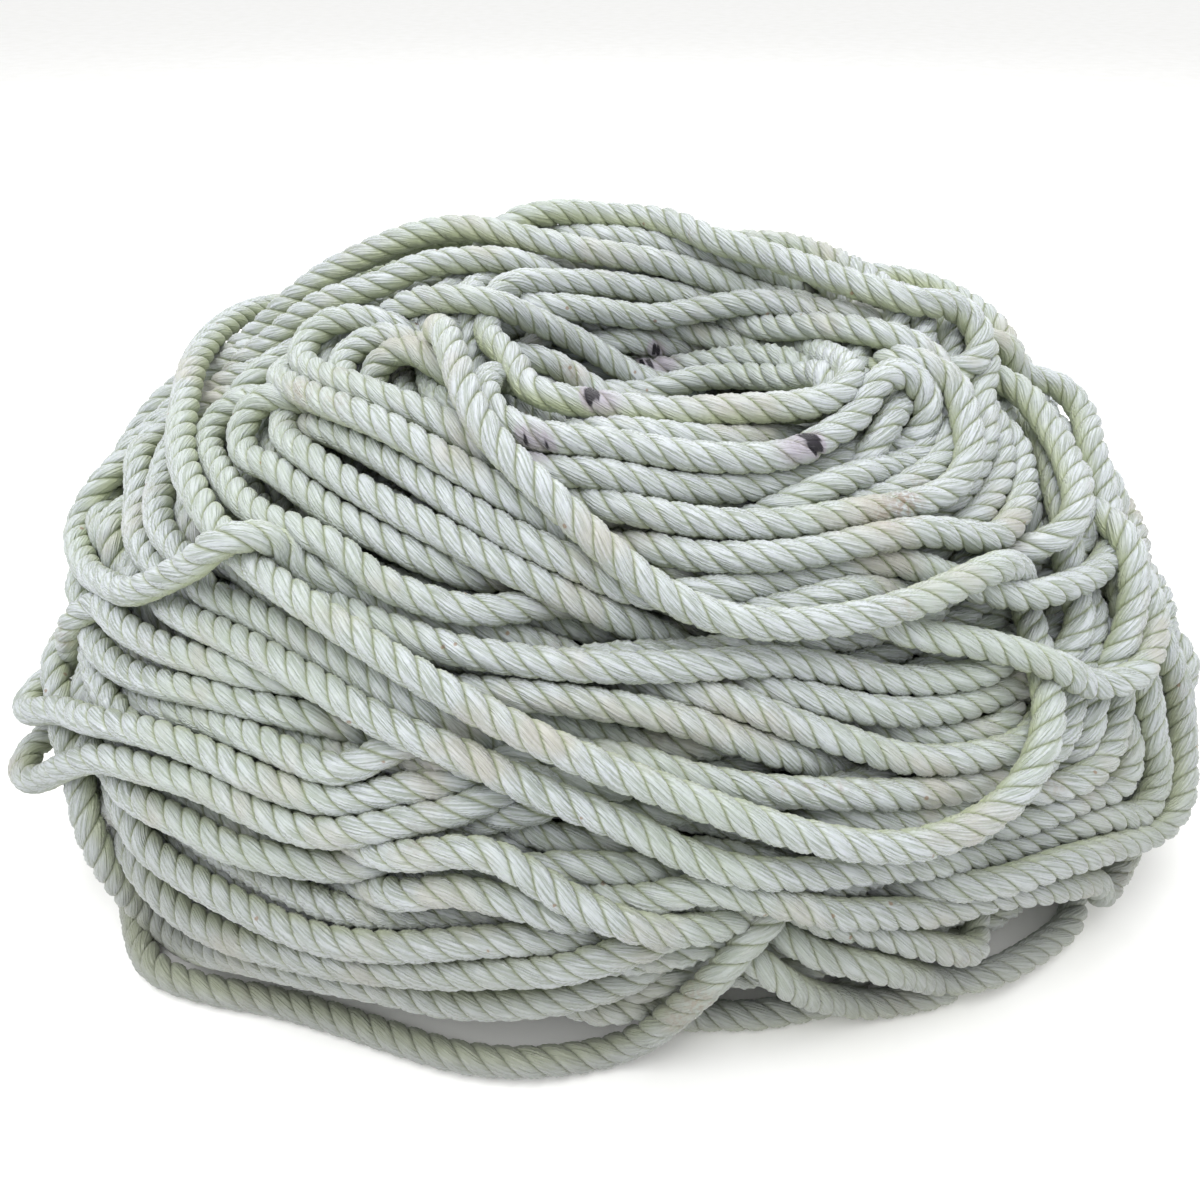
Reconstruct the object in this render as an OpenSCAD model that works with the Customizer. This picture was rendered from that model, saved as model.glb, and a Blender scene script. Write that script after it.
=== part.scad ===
// A long three-strand rope thrown down in one heap: a mound of turns with an eye in its top,
// a few stretches lying loose over the turns, and two whipped ends behind the mound.
// Millimetres, +Z up. The origin is on the floor under the mound, and -Y is the front.

/* [Rope] */
// Diameter of the rope
rope_d = 11; // [9.5:0.5:12.5]
// Clear gap between a turn and the mound of inner turns under it
seat_gap = 0.25; // [0.2:0.05:0.6]
// Extra height of a stretch that lies over the turns
lay_gap = 1.2; // [1:0.1:2]

/* [Mound] */
// Width of the mound, between the middles of its widest turn
mound_w = 492; // [430:1:560]
// Depth of the mound, between the middles of its widest turn
mound_d = 360; // [320:1:420]
// How square the mound is in plan: 2 is an ellipse
plan_power = 2.3; // [2:0.1:3]
// How far the foot draws in from the widest turn
foot_inset = 25; // [5:1:40]
// Height of the widest turn
belly_h = 44; // [30:1:60]
// Height at which the side starts to lean in
shoulder_h = 95; // [80:1:110]
// How far the side has leaned in there
shoulder_inset = 12; // [4:1:25]
// Height of the slope between the side and the crown
haunch_h = 152; // [135:1:165]
// How far the slope has leaned in there
haunch_inset = 59; // [40:1:80]
// Height of the crown round the eye
crown_h = 207; // [190:1:225]
// Distance of the crown from the middle of the eye, to the side
crown_r = 89; // [75:1:110]
// Height of the innermost turn of the eye
eye_h = 174; // [160:1:185]
// Distance of the innermost turn from the middle of the eye, to the side
eye_r = 34; // [30:1:45]
// Share by which the mound's height grows from its middle to its back
back_rise = 0.2; // [0:0.05:0.25]
// Share by which the mound's outline and height waver round it
waver = 0.015; // [0:0.005:0.02]
// How far the eye sits to the right of the mound's middle
eye_right = 28; // [0:1:40]
// How far the eye sits in front of the mound's middle
eye_front = 16; // [0:1:30]

/* [Outer turns] */
// Most turns that the outer layer may have
most_turns = 24; // [12:1:24]
// Least clear gap between neighbouring turns
turn_gap = 1.2; // [1.1:0.1:3]
// Direction in which the lowest turn starts, 270 being the front
start_az = 288; // [286:1:300]
// Extra climb of the lowest turn, which clears the stretch that leaves under it
first_rise = 4; // [3.5:0.5:6]

/* [Rope ends] */
// Length of each whipping
whip_len = 22; // [15:1:35]
// Thickness of the whipping twine's wall
whip_t = 1.4; // [1:0.1:2.5]
// Clear gap between the rope and its whipping
whip_gap = 0.1; // [0.05:0.05:0.3]
// How far the fused strand ends stand out of the rope's end
tip_len = 5; // [3:0.5:9]
// Clear gap between the fused strand ends
tip_gap = 0.1; // [0.05:0.05:0.3]
// Distance from a whipping to the rope's end
whip_back = 4; // [2:0.5:12]

/* [Hidden] */

turn_rings = 24;          // rings in one turn of the outer layer
turn_sides = 6;           // sides of a wound turn
run_sides = 8;            // sides of a loose stretch
run_step = 2.5;           // rope diameters from ring to ring of a loose stretch
core_rows = 15;           // rows of facets up the mound of inner turns
profile_steps = 120;      // steps of the table that measures the mound's profile
strands = 3;              // strands laid up in the rope
tip_taper = 0.8;          // a fused strand end's radius at its tip, over its radius
end_lift = 0.7;           // rise of the wound rope's upper end, over its run
probe = 0.5;              // step for finding the mound's outward direction, degrees and mm

rope_r = rope_d / 2;
half_w = mound_w / 2;
half_d = mound_d / 2;

// The profile's corners: [share of the plan's radius, height], from the foot to the eye.
PROFILE = [
    [1 - foot_inset / half_w, rope_r],
    [1, belly_h],
    [1 - shoulder_inset / half_w, shoulder_h],
    [1 - haunch_inset / half_w, haunch_h],
    [crown_r / half_w, crown_h],
    [eye_r / half_w, eye_h]
];

// A smooth curve through a list of points, where t counts points from the first.
function before(p, i) = i > 0 ? p[i - 1] : 2 * p[0] - p[1];
function after(p, i) = i < len(p) ? p[i] : 2 * p[len(p) - 1] - p[len(p) - 2];
function blend(a, b, c, d, f) =
    0.5 * (2 * b + (c - a) * f + (2 * a - 5 * b + 4 * c - d) * f * f + (3 * b - a - 3 * c + d) * f * f * f);
function along(p, t) =
    let (i = max(0, min(floor(t), len(p) - 2)))
    blend(before(p, i), p[i], p[i + 1], after(p, i + 2), t - i);

// Where a turn's middle lies, from its direction, its share of the plan's radius and its height.
function plan_scale(az) = pow(pow(abs(cos(az)), plan_power) + pow(abs(sin(az)), plan_power), -1 / plan_power);
function spot(az, s, h) =
    let (r = s * plan_scale(az) * (1 + waver * sin(3 * az + 60)), e = pow(max(0, 1 - s), 2))
    [half_w * r * cos(az) + eye_right * e,
     half_d * r * sin(az) - eye_front * e,
     rope_r + (h - rope_r) * (1 + s * (back_rise * sin(az) + waver * sin(2 * az + 40)))];

// The profile as tables against the climb, the distance up the mound's front from its foot.
profile_pts = [for (k = [0 : profile_steps]) along(PROFILE, k * (len(PROFILE) - 1) / profile_steps)];
function front_spot(k) = spot(270, profile_pts[k][0], profile_pts[k][1]);
function span(k) = norm(front_spot(k) - front_spot(k - 1));
climbs = [for (k = 0, c = 0; k <= profile_steps; k = k + 1, c = k <= profile_steps ? c + span(k) : c) c];
radius_table = [for (k = [0 : profile_steps]) [climbs[k], profile_pts[k][0]]];
height_table = [for (k = [0 : profile_steps]) [climbs[k], profile_pts[k][1]]];
full_climb = climbs[profile_steps];

// The same from a direction and a climb. A climb below 0 is that far out on the floor.
function share(climb) = climb < 0 ? PROFILE[0][0] - climb / half_d : lookup(climb, radius_table);
function height(climb) = climb < 0 ? rope_r : lookup(climb, height_table);
function on_mound(az, climb) = spot(az, share(climb), height(climb));

function unit(v) = v / norm(v);
function outward(az, climb) = climb < 0 ? [0, 0, 1] :
    let (c = min(climb, full_climb - probe))
    unit(cross(on_mound(az + probe, c) - on_mound(az - probe, c),
               on_mound(az, c + probe) - on_mound(az, max(0, c - probe))));

// A place given as [direction, climb in percent, level], where level counts rope diameters above the turns.
function place(p) =
    let (climb = full_climb * p[1] / 100)
    on_mound(p[0], climb) + p[2] * (rope_d + lay_gap) * outward(p[0], climb);

// ---- Tubes, swept along rings given as [middle, heading] ----

function level_side(t) = unit(cross(t, abs(t[2]) > 0.9 ? [1, 0, 0] : [0, 0, 1]));
function corners(ring, sides, r) =
    let (a = level_side(ring[1]), b = cross(ring[1], a))
    [for (k = [0 : sides - 1])
        let (turn = 360 * (k + 0.5) / sides)
        ring[0] + r * (cos(turn) * a + sin(turn) * b)];

module tube(rings, sides, r) {
    last = (len(rings) - 1) * sides;
    points = [for (ring = rings) each corners(ring, sides, r)];
    walls = [for (i = [0 : len(rings) - 2], k = [0 : sides - 1])
        let (a = i * sides + k, b = i * sides + (k + 1) % sides)
        each [[a, b, b + sides], [a, b + sides, a + sides]]];
    first_cap = [for (k = [1 : sides - 2]) [0, k + 1, k]];
    last_cap = [for (k = [1 : sides - 2]) [last, last + k, last + k + 1]];
    polyhedron(points = points, faces = concat(walls, first_cap, last_cap));
}

// ---- The outer turns ----

// The turns lie closest together up the front, along which the climb is measured.
turns = min(most_turns, floor((full_climb - first_rise) / (rope_d + turn_gap)));

function turn_point(i) =
    let (az = start_az + 360 * i / turn_rings,
         rise = first_rise * min(1, i / turn_rings))
    on_mound(az, rise + (full_climb - first_rise) * i / (turns * turn_rings));

// Both ends run straight for one diameter, and the upper one lifts clear of the eye's turns.
turned = [for (i = [0 : turns * turn_rings]) turn_point(i)];
last_turned = turned[len(turned) - 1];
low_heading = unit(turned[0] - turned[1]);
high_heading = unit(unit(last_turned - turned[len(turned) - 2]) + end_lift * outward(start_az, full_climb));
wound = concat([turned[0] + rope_d * low_heading], turned, [last_turned + rope_d * high_heading]);
function wound_heading(i) =
    i == 0 ? -low_heading : i == len(wound) - 1 ? high_heading : unit(wound[i + 1] - wound[i - 1]);

// Least gap of the wound rope to itself, measured from its points to the turns on either side.
function to_line(p, a, b) =
    let (t = max(0, min(1, (p - a) * (b - a) / ((b - a) * (b - a)))))
    norm(p - a - t * (b - a));
function least_gap(path, skip) =
    min([for (i = [0 : len(path) - 1], j = [i + skip : 1 : min(len(path) - 2, i + 3 * turn_rings)])
        to_line(path[i], path[j], path[j + 1])]) - rope_d;

module outer_turns() {
    echo(turns = turns, least_gap_mm = least_gap(wound, turn_rings / 2));
    color("#dfe8dc")
        tube([for (i = [0 : len(wound) - 1]) [wound[i], wound_heading(i)]], turn_sides, rope_r);
}

// ---- The mound of inner turns ----

core_in = rope_r + seat_gap;
function core_ring(climb) =
    [for (k = [0 : turn_rings - 1])
        let (az = start_az + 360 * k / turn_rings)
        on_mound(az, climb) - core_in * outward(az, climb)];
core_floor = [for (p = core_ring(0)) [p[0], p[1], 0]];
core_rings = concat([core_floor], [for (k = [0 : core_rows]) core_ring(full_climb * k / core_rows)]);

module inner_turns() {
    n = turn_rings;
    points = [for (r = core_rings) each r];
    walls = [for (i = [0 : len(core_rings) - 2], k = [0 : n - 1])
        let (a = i * n + k, b = i * n + (k + 1) % n)
        each [[a, a + n, b + n], [a, b + n, b]]];
    floor_cap = [for (k = [1 : n - 2]) [0, k, k + 1]];
    last = (len(core_rings) - 1) * n;
    eye_cap = [for (k = [1 : n - 2]) [last, last + k + 1, last + k]];
    color("#cfd8cb") polyhedron(points = points, faces = concat(walls, floor_cap, eye_cap));
}

// ---- The loose stretches ----

// Level at which an end's whipping just rests on the floor.
end_level = (whip_gap + whip_t) / (rope_d + lay_gap);

// Routes as [direction, climb in percent, level]. Each goes on from where the one before it ends.
// From the foot of the wound rope, round the left of the mound on the floor:
FRONT_LOOP = [[280, -2.5, 0], [275, -4.5, 0], [270, -6, 0], [264, -8, 0], [258, -8, 0], [252, -6.6, 0],
              [246, -5.7, 0], [240, -6, 0]];
FOOT_RUN = [[235, -7.6, 0], [229, -8.8, 0], [222, -7.6, 0], [212, -6.2, 0], [202, -5.7, 0], [190, -5.7, 0],
            [175, -5.7, 0], [160, -6.8, 0], [145, -9.3, 0], [133, -12.9, end_level], [124, -17.2, end_level]];
// From the wound rope's end in the eye, over the crown, the front and the left side, down the back:
EYE_TURN = [[342, 97.7, 1.1], [10, 96.2, 1.1], [44, 95.6, 1.1], [80, 95.6, 1], [110, 94.8, 1], [136, 92.4, 1],
            [160, 89, 1], [182, 86.2, 1]];
CROSSING_RUN = [[199, 85.2, 1], [211, 85, 1], [223, 84, 1], [233, 82, 1], [242, 79, 1], [251, 75.8, 1], [261, 71, 1],
                [270, 65, 1], [277, 61, 1], [284, 59, 1], [292, 58.2, 1], [300, 58, 1], [307, 58.2, 1], [313, 57.8, 1]];
RIGHT_HAIRPIN = [[318.5, 55.5, 1], [320, 51.5, 1], [318, 47.5, 1], [314, 44.3, 1], [310, 41.3, 1], [306.5, 38.3, 1],
                 [303, 35.6, 1]];
LONG_DIAGONAL = [[298, 33.8, 1], [292, 33.6, 1], [286, 35.8, 1], [280, 39, 1], [274, 42.2, 1], [267, 45.5, 1],
                 [259, 49.2, 1], [250, 53, 1], [241, 56, 1], [232, 57.8, 1]];
BACK_RUN = [[220, 58.6, 1], [204, 58.8, 1], [186, 58.4, 1], [168, 56.5, 1.05], [148, 52.3, 1.1], [130, 44.4, 1.05],
            [115, 34.4, 1], [103, 23.6, 1.05], [95, 12.9, 1.1], [89, 2.9, 1.1], [82, -12.9, 0.4], [74, -17.9, end_level]];
LOW_ROUTES = [FRONT_LOOP, FOOT_RUN];
HIGH_ROUTES = [EYE_TURN, CROSSING_RUN, RIGHT_HAIRPIN, LONG_DIAGONAL, BACK_RUN];

// One line through a set of routes, which leaves the wound rope straight on.
function line(start, leaving, routes) =
    concat([start, start + rope_d * leaving], [for (r = routes, p = r) place(p)]);
low_line = line(wound[0], low_heading, LOW_ROUTES);
high_line = line(wound[len(wound) - 1], high_heading, HIGH_ROUTES);

// The rings of one route of a set, evenly along its share of their line.
function ends_at(routes, k) = k < 0 ? 0 : ends_at(routes, k - 1) + len(routes[k]) + (k == 0 ? 1 : 0);
function line_len(q, a, b) = a < b ? norm(q[a + 1] - q[a]) + line_len(q, a + 1, b) : 0;
function line_heading(q, t) = unit(along(q, min(len(q) - 1, t + 0.01)) - along(q, max(0, t - 0.01)));
function run_rings(q, routes, k) =
    let (a = ends_at(routes, k - 1), b = ends_at(routes, k),
         n = max(2, round(line_len(q, a, b) / (run_step * rope_d))))
    [for (i = [0 : n]) let (t = a + (b - a) * i / n) [along(q, t), line_heading(q, t)]];

// The last step before a rope's end is straight.
function straight_end(rings) =
    let (n = len(rings), tip = rings[n - 1][0])
    [for (i = [0 : n - 1]) i < n - 1 ? rings[i] : [tip, unit(tip - rings[n - 2][0])]];

front_loop_rings = run_rings(low_line, LOW_ROUTES, 0);
foot_run_rings = straight_end(run_rings(low_line, LOW_ROUTES, 1));
eye_turn_rings = run_rings(high_line, HIGH_ROUTES, 0);
crossing_run_rings = run_rings(high_line, HIGH_ROUTES, 1);
right_hairpin_rings = run_rings(high_line, HIGH_ROUTES, 2);
long_diagonal_rings = run_rings(high_line, HIGH_ROUTES, 3);
back_run_rings = straight_end(run_rings(high_line, HIGH_ROUTES, 4));

module stretch(rings) {
    color("#e6ede2") tube(rings, run_sides, rope_r);
}

module front_loop() stretch(front_loop_rings);
module foot_run() stretch(foot_run_rings);
module eye_turn() stretch(eye_turn_rings);
module crossing_run() stretch(crossing_run_rings);
module right_hairpin() stretch(right_hairpin_rings);
module long_diagonal() stretch(long_diagonal_rings);
module back_run() stretch(back_run_rings);

// ---- The whipped ends ----

// Stands what follows on the last ring, with +Z pointing on along the rope.
module at_end(rings) {
    tip = rings[len(rings) - 1];
    translate(tip[0]) rotate([0, acos(tip[1][2]), atan2(tip[1][1], tip[1][0])]) children();
}

module whipping(rings) {
    bore = rope_r + whip_gap;
    color("#8a7f6a") at_end(rings) translate([0, 0, -whip_back - whip_len]) difference() {
        cylinder(h = whip_len, r = bore + whip_t, $fn = 48);
        translate([0, 0, -1]) cylinder(h = whip_len + 2, r = bore, $fn = 48);
    }
}

// Each strand's end is fused into a bead of its own.
module strand_ends(rings) {
    strand_r = (rope_r - tip_gap) / (1 + 1 / sin(180 / strands));
    color("#c9b98f") at_end(rings)
        for (k = [0 : strands - 1]) rotate(360 * k / strands) translate([rope_r - strand_r, 0, 0])
            cylinder(h = tip_len, r1 = strand_r, r2 = strand_r * tip_taper, $fn = 32);
}

module whipping_low() whipping(foot_run_rings);
module whipping_high() whipping(back_run_rings);
module strand_ends_low() strand_ends(foot_run_rings);
module strand_ends_high() strand_ends(back_run_rings);

inner_turns();
outer_turns();
front_loop();
foot_run();
eye_turn();
crossing_run();
right_hairpin();
long_diagonal();
back_run();
whipping_low();
whipping_high();
strand_ends_low();
strand_ends_high();
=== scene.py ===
"""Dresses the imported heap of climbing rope: one long three-strand laid nylon rope and its whipped ends."""

import logging
import math
from dataclasses import dataclass, field
from enum import Enum
from itertools import product
from typing import Optional

import bpy
from mathutils import Matrix, Vector
import numpy as np

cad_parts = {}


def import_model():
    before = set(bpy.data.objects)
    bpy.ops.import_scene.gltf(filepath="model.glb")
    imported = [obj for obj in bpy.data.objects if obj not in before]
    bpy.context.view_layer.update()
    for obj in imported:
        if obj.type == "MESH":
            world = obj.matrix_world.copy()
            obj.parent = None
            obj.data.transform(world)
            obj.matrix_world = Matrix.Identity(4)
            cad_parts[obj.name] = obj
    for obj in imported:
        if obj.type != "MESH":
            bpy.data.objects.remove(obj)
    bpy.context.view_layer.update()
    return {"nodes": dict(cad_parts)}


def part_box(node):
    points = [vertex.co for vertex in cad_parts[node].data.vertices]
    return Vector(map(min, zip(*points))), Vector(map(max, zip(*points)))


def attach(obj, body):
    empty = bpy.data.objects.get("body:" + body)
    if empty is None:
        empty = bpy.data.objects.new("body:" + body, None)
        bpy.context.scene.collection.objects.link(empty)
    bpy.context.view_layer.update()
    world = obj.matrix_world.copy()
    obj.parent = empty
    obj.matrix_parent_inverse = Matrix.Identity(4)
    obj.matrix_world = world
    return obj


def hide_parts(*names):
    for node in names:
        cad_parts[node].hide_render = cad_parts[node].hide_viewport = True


log = logging.getLogger("rope_heap")
Array = np.ndarray
# What keeps a length of zero from being divided by:
TINY = 1e-12
# Directions on the floor are in degrees, from the right-hand side round by the back:
FRONT_AZ, BACK_AZ = 270.0, 90.0


# ---- The rope, the mound it lies in, and the camera ----


@dataclass(frozen=True)
class LaidRope:
    """Sizes of the three-strand rope, in metres."""

    diameter: float = 0.011
    lay_length: float = 0.0245
    length: float = 100.0
    lay_gap: float = 0.0012
    strands: int = 3
    groove_depth: float = 0.25

    @property
    def radius(self) -> float:
        """Radius of the circle round the strands."""
        return self.diameter / 2


ROPE = LaidRope()


def smooth_line(points: Array, t: Array) -> Array:
    """Gives places on a smooth (Catmull-Rom) curve through points.

    Args:
        points: The points, one a row.
        t: Places along the curve, counted in points from the first.

    Returns:
        One row for each place.
    """
    last = len(points) - 1
    t = np.clip(t, 0, last)
    i = np.minimum(t.astype(int), last - 1)
    f = (t - i)[:, None]
    padded = np.vstack([2 * points[:1] - points[1:2], points, 2 * points[-1:] - points[-2:-1]])
    a, b, c, d = (padded[i + k] for k in range(4))
    return 0.5 * (2 * b + (c - a) * f + (2 * a - 5 * b + 4 * c - d) * f**2 + (3 * b - a - 3 * c + d) * f**3)


def arc_lengths(points: Array) -> Array:
    """Gives the distance along a line of points, at each of them."""
    return np.r_[0.0, np.cumsum(np.linalg.norm(np.diff(points, axis=0), axis=1))]


def evenly(points: Array, step: float, *others: Array) -> list[Array]:
    """Sets points evenly along a line.

    Args:
        points: The line's points, one a row.
        step: The wanted distance between points.
        others: Arrays that go with the points, and are read off at the same places.

    Returns:
        The new points, and the other arrays at them.
    """
    along = arc_lengths(points)
    count = max(2, int(round(along[-1] / step)) + 1)
    want = np.linspace(0, along[-1], count)

    def read(values: Array) -> Array:
        """Reads one array off at the wanted places."""
        if values.ndim == 1:
            return np.interp(want, along, values)
        return np.column_stack([np.interp(want, along, column) for column in values.T])

    return [read(points), *[read(o) for o in others]]


def unit(vectors: Array) -> Array:
    """Scales vectors to length 1."""
    return vectors / np.maximum(TINY, np.linalg.norm(vectors, axis=-1, keepdims=True))


def dots(a: Array, b: Array) -> Array:
    """Gives the dot product of each row of one array with the same row of another."""
    return np.einsum("ij,ij->i", a, b)


def softened(values: Array, rounds: int) -> Array:
    """Averages each row with its neighbours a number of times."""
    for _ in range(rounds):
        padded = np.concatenate([values[:1], values, values[-1:]])
        values = (padded[:-2] + 2 * padded[1:-1] + padded[2:]) / 4
    return values


@dataclass
class Mound:
    """The surface that the middles of the outer turns lie on, in metres and degrees."""

    width: float = 0.492
    depth: float = 0.360
    plan_power: float = 2.3
    foot_inset: float = 0.025
    belly_height: float = 0.044
    shoulder_height: float = 0.095
    shoulder_inset: float = 0.012
    haunch_height: float = 0.152
    haunch_inset: float = 0.059
    crown_height: float = 0.207
    crown_radius: float = 0.089
    eye_height: float = 0.174
    eye_radius: float = 0.034
    eye_floor_dip: float = 0.004
    back_rise: float = 0.2
    waver: float = 0.015
    plan_waves: tuple[int, float] = (3, 60.0)
    rise_waves: tuple[int, float] = (2, 40.0)
    probe_az: float = 0.5
    probe: float = 0.003
    eye_right: float = 0.028
    eye_front: float = 0.016
    profile_steps: int = 120
    eye_steps: int = 12
    climbs: Array = field(init=False, repr=False)
    shares: Array = field(init=False, repr=False)
    heights: Array = field(init=False, repr=False)
    full_climb: float = field(init=False)
    top_climb: float = field(init=False)

    def __post_init__(self) -> None:
        """Measures the profile from the foot to the eye, and over the eye's floor to its middle."""
        half = self.width / 2
        knots = np.array(
            [
                [1 - self.foot_inset / half, ROPE.radius],
                [1, self.belly_height],
                [1 - self.shoulder_inset / half, self.shoulder_height],
                [1 - self.haunch_inset / half, self.haunch_height],
                [self.crown_radius / half, self.crown_height],
                [self.eye_radius / half, self.eye_height],
            ]
        )
        wall = smooth_line(knots, np.linspace(0, len(knots) - 1, self.profile_steps + 1))
        inwards = np.linspace(0, 1, self.eye_steps)[1:]
        floor_shares = wall[-1, 0] * (1 - inwards)
        floor_heights = wall[-1, 1] - self.eye_floor_dip * np.sin(inwards * math.pi / 2)
        self.shares = np.r_[wall[:, 0], floor_shares]
        self.heights = np.r_[wall[:, 1], floor_heights]
        self.climbs = arc_lengths(self.spot(np.full(len(self.shares), FRONT_AZ), self.shares, self.heights))
        self.full_climb = float(self.climbs[self.profile_steps])
        self.top_climb = float(self.climbs[-1])

    def spot(self, az: Array, share: Array, height: Array) -> Array:
        """Places a turn's middle.

        Args:
            az: Its direction from the heap's middle.
            share: Its share of the plan's radius.
            height: Its height at the front.

        Returns:
            The place, with one row for each direction.
        """
        a = np.radians(az)
        cos, sin = np.cos(a), np.sin(a)
        plan = (np.abs(cos) ** self.plan_power + np.abs(sin) ** self.plan_power) ** (-1 / self.plan_power)
        waves, phase = self.plan_waves
        r = share * plan * (1 + self.waver * np.sin(waves * a + math.radians(phase)))
        e = np.maximum(0, 1 - share) ** 2
        waves, phase = self.rise_waves
        rise = 1 + share * (self.back_rise * sin + self.waver * np.sin(waves * a + math.radians(phase)))
        return np.stack(
            [
                self.width / 2 * r * cos + self.eye_right * e,
                self.depth / 2 * r * sin - self.eye_front * e,
                ROPE.radius + (height - ROPE.radius) * rise,
            ],
            -1,
        )

    def surface(self, az: Array, climb: Array) -> Array:
        """Places points by direction and by climb up the mound's front. Below 0 they lie on the floor."""
        climb = np.asarray(climb, float)
        on_floor = self.shares[0] - climb / (self.depth / 2)
        share = np.where(climb < 0, on_floor, np.interp(climb, self.climbs, self.shares))
        height = np.where(climb < 0, ROPE.radius, np.interp(climb, self.climbs, self.heights))
        return self.spot(np.asarray(az, float), share, height)

    def outward(self, az: Array, climb: Array) -> Array:
        """Gives the surface's outward direction at points placed as surface() places them."""
        az, climb = np.asarray(az, float), np.asarray(climb, float)
        inner = np.clip(climb, 0, self.top_climb - 2 * self.probe)
        across = self.surface(az + self.probe_az, inner) - self.surface(az - self.probe_az, inner)
        upward = self.surface(az, inner + self.probe) - self.surface(az, np.maximum(0, inner - self.probe))
        return np.where((climb < 0)[..., None], np.array([0.0, 0.0, 1.0]), unit(np.cross(across, upward)))

    def at(self, az: Array, climb: Array, level: Array) -> Array:
        """Places points on a level, counted in rope diameters above the outer turns' middles."""
        lift = np.broadcast_to(np.asarray(level, float) * (ROPE.diameter + ROPE.lay_gap), np.shape(az))
        return self.surface(az, climb) + lift[..., None] * self.outward(az, climb)


@dataclass
class StillCamera:
    """The camera, 37 degrees above the floor and close to the heap."""

    target: tuple[float, float, float] = (-0.0066, 0.0, 0.0682)
    pitch: float = 37.0
    distance: float = 0.4356
    focal_px: float = 930.0
    frame_px: float = 1200.0
    sensor_mm: float = 36.0
    clips: tuple[float, float] = (0.01, 20.0)

    def __post_init__(self) -> None:
        """Works out where the camera stands and its three directions."""
        a = math.radians(self.pitch)
        self.ahead = np.array([0.0, math.cos(a), -math.sin(a)])
        self.up = np.array([0.0, math.sin(a), math.cos(a)])
        self.right = np.array([1.0, 0.0, 0.0])
        self.place = np.array(self.target) - self.ahead * self.distance

    def rays(self, px: Array) -> Array:
        """Gives the directions of the rays through places in the frame."""
        middle = self.frame_px / 2
        x = (px[:, :1] - middle) / self.focal_px
        y = (middle - px[:, 1:2]) / self.focal_px
        return unit(self.ahead + x * self.right + y * self.up)

    def project(self, points: Array) -> tuple[Array, Array]:
        """Gives the places in the frame of points, and their depths."""
        q = points - self.place
        depth = q @ self.ahead
        middle = self.frame_px / 2
        x = middle + self.focal_px * (q @ self.right) / depth
        y = middle - self.focal_px * (q @ self.up) / depth
        return np.column_stack([x, y]), depth

    def make(self) -> None:
        """Adds the camera to the scene."""
        data = bpy.data.cameras.new("still_camera")
        data.sensor_width = self.sensor_mm
        data.lens = self.sensor_mm * self.focal_px / self.frame_px
        data.clip_start, data.clip_end = self.clips
        camera = bpy.data.objects.new("still_camera", data)
        bpy.context.collection.objects.link(camera)
        camera.location = self.place
        camera.rotation_euler = (math.radians(90 - self.pitch), 0, 0)
        bpy.context.scene.camera = camera


# ---- Routes ----

Route = list[tuple[float, float, float]]

# The rise of the rope's middle line where a whipping rests on the floor:
WHIP_LEVEL = 0.0015 / (ROPE.diameter + ROPE.lay_gap)
# Places on the mound as (direction, climb in percent, level), from the foot of the heap to the low end:
FRONT_LOOP: Route = [
    (270, -6, 0), (264, -8, 0), (258, -8, 0), (252, -6.6, 0), (246, -5.7, 0), (240, -6, 0),
]
FOOT_RUN: Route = [
    (235, -7.6, 0), (229, -8.8, 0), (222, -6.4, 0), (212, -4.4, 0), (202, -4, 0), (190, -4.6, 0),
    (175, -5.7, 0), (160, -6.8, 0), (145, -9.3, 0), (133, -12.9, WHIP_LEVEL), (124, -17.2, WHIP_LEVEL),
]
# From the eye, over the crown, the front and the left side, and down the back to the high end:
EYE_TURN: Route = [
    (342, 97.7, -0.7), (10, 96.2, -0.9), (44, 95.6, -1), (80, 95.6, -1), (110, 94.8, -1), (136, 92.4, -1),
    (160, 89, -1), (182, 86.2, -0.7),
]
CROSSING_RUN: Route = [
    (199, 85.2, 0.2), (211, 85, 0.9), (223, 84, 1), (233, 82, 1), (242, 79, 1), (251, 75.8, 1), (261, 71, 1),
    (270, 65, 1), (277, 61, 1), (284, 59, 1), (292, 58.2, 1), (300, 58, 1), (307, 58.2, 1), (313, 57.8, 0.8),
]
RIGHT_HAIRPIN: Route = [
    (318.5, 55.5, 0.1), (320, 51.5, -0.6), (318, 47.5, -0.6), (314, 44.3, 0.1), (310, 41.3, 0.8),
    (306.5, 38.3, 1), (303, 35.6, 1),
]
LONG_DIAGONAL: Route = [
    (298, 33.8, 1), (292, 33.6, 1), (286, 35.8, 1), (280, 39, 1), (274, 42.2, 1), (267, 45.5, 1),
    (259, 49.2, 1), (250, 53, 1), (241, 56, 1), (232, 57.8, 1),
]
BACK_RUN: Route = [
    (220, 58.6, 1), (204, 58.8, 1), (186, 58.4, 1), (168, 56.5, 1.05), (148, 52.3, 1.1), (130, 44.4, 1.05),
    (115, 34.4, 1), (103, 23.6, 1.05), (95, 12.9, 1.1), (89, 2.9, 1.1), (82, -12.9, 0.4),
    (74, -17.9, WHIP_LEVEL),
]

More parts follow.
